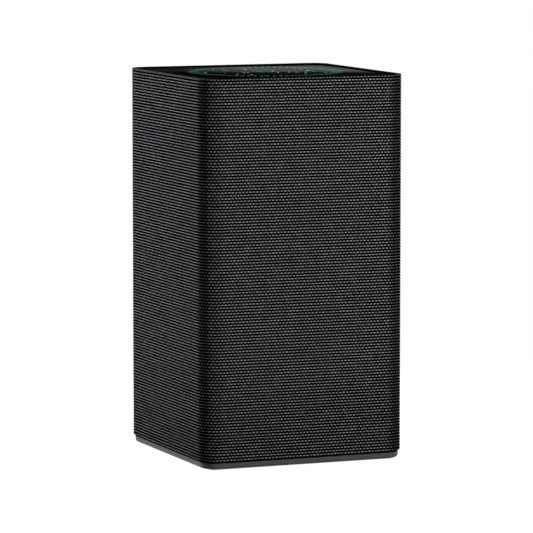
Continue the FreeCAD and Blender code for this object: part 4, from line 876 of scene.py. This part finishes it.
def room_light(stage):
    """An even fill for the tower, white behind it, and a dim room with a low pale band in its mirrors."""
    world = bpy.data.worlds.new("Studio")
    tree = empty_tree(world)
    fill = add(tree, "ShaderNodeBackground", {"Color": WHITE, "Strength": stage.fill})
    white = add(tree, "ShaderNodeBackground", {"Color": WHITE, "Strength": 1.0})
    way = add(tree, "ShaderNodeSeparateXYZ", {"Vector": add(tree, "ShaderNodeTexCoord").outputs["Generated"]})
    band = add(tree, "ShaderNodeMapRange", [way.outputs["X"], *BAND_SIDE, *BAND_LIGHT])
    low = add(tree, "ShaderNodeMapRange", [way.outputs["Z"], *BAND_TOP, band, ROOM_LIGHT],
              interpolation_type="SMOOTHSTEP")
    # Overhead a dim ceiling is pale, so that metal and gloss pick up a soft highlight.
    above = add(tree, "ShaderNodeMapRange", [way.outputs["Z"], *CEILING_RISE, 0.0, CEILING_LIGHT],
                interpolation_type="SMOOTHSTEP")
    mirrored = add(tree, "ShaderNodeMath", [low, above], operation="ADD")
    room = add(tree, "ShaderNodeBackground", {"Color": WHITE, "Strength": mirrored})
    rays = add(tree, "ShaderNodeLightPath")
    seen = add(tree, "ShaderNodeMixShader", [seen_share(tree), fill, room])
    shown = add(tree, "ShaderNodeMixShader", [rays.outputs["Is Camera Ray"], seen, white])
    add(tree, "ShaderNodeOutputWorld", {"Surface": shown})
    return world


class WIFITOWER_OT_stage(bpy.types.Operator):
    """Sets up the camera, the floor, the lamps and the room's light"""
    bl_idname = "wifi_tower.stage"
    bl_label = "Set the Stage"

    def execute(self, context):
        stage = context.scene.tower_stage
        camera = bpy.data.cameras.new("Camera")
        camera.lens = stage.lens
        camera.sensor_width = SENSOR_WIDTH
        camera.clip_start, camera.clip_end = CLIP_NEAR, CLIP_FAR
        holder = new_object("Camera", camera)
        level = math.cos(stage.elevation)
        back = Vector((math.sin(stage.azimuth) * level, -math.cos(stage.azimuth) * level,
                       math.sin(stage.elevation)))
        holder.location = Vector(stage.target) + back * stage.distance
        holder.rotation_euler = (-back).to_track_quat("-Z", "Y").to_euler()
        context.scene.camera = holder

        half = stage.floor_size
        mesh = bpy.data.meshes.new("floor")
        mesh.from_pydata([(-half, -half, 0), (half, -half, 0), (half, half, 0), (-half, half, 0)], [],
                         [(0, 1, 2, 3)])
        mesh.materials.append(floor_paint())
        floor = new_object("floor", mesh)

        for name, power, azimuth in (("Left Softbox", stage.left_power, -138.0),
                                     ("Front Softbox", stage.front_power, 28.0)):
            softbox(name, power, azimuth, height=0.75, distance=1.3, width=0.7)
        softbox("Top Softbox", stage.top_power, 0.0, height=1.5, distance=0.05, width=1.2)
        context.scene.world = room_light(stage)
        context.scene.view_settings.view_transform = "Standard"
        return {"FINISHED"}


# ------------------------ the add-on
class WIFITOWER_PT_panel(bpy.types.Panel):
    """The tower's settings and the operators that build it"""
    bl_idname = "WIFITOWER_PT_panel"
    bl_label = "Mesh Wifi Tower"
    bl_space_type = "VIEW_3D"
    bl_region_type = "UI"
    bl_category = "Wifi Tower"

    def draw(self, context):
        for settings in (context.scene.tower_stage, context.scene.tower_cloth, context.scene.tower_lid):
            box = self.layout.box()
            for name in settings.__annotations__:
                box.prop(settings, name)
        for operator in OPERATORS:
            self.layout.operator(operator.bl_idname)


GROUPS = {"tower_stage": StageSettings, "tower_cloth": ClothSettings, "tower_lid": LidSettings}
OPERATORS = (WIFITOWER_OT_stage, WIFITOWER_OT_sleeve, WIFITOWER_OT_lid, WIFITOWER_OT_housing,
             WIFITOWER_OT_ports, WIFITOWER_OT_electronics, WIFITOWER_OT_fan)


def register():
    for kind in (*GROUPS.values(), *OPERATORS, WIFITOWER_PT_panel):
        bpy.utils.register_class(kind)
    for name, group in GROUPS.items():
        setattr(bpy.types.Scene, name, PointerProperty(type=group))


def unregister():
    for name in GROUPS:
        delattr(bpy.types.Scene, name)
    for kind in (WIFITOWER_PT_panel, *reversed(OPERATORS), *GROUPS.values()):
        bpy.utils.unregister_class(kind)


def main():
    """Builds everything, in order."""
    register()
    bpy.ops.wifi_tower.stage()
    bpy.ops.wifi_tower.sleeve()
    bpy.ops.wifi_tower.lid()
    bpy.ops.wifi_tower.housing()
    bpy.ops.wifi_tower.ports()
    bpy.ops.wifi_tower.electronics()
    bpy.ops.wifi_tower.fan()


if __name__ == "__main__":
    main()
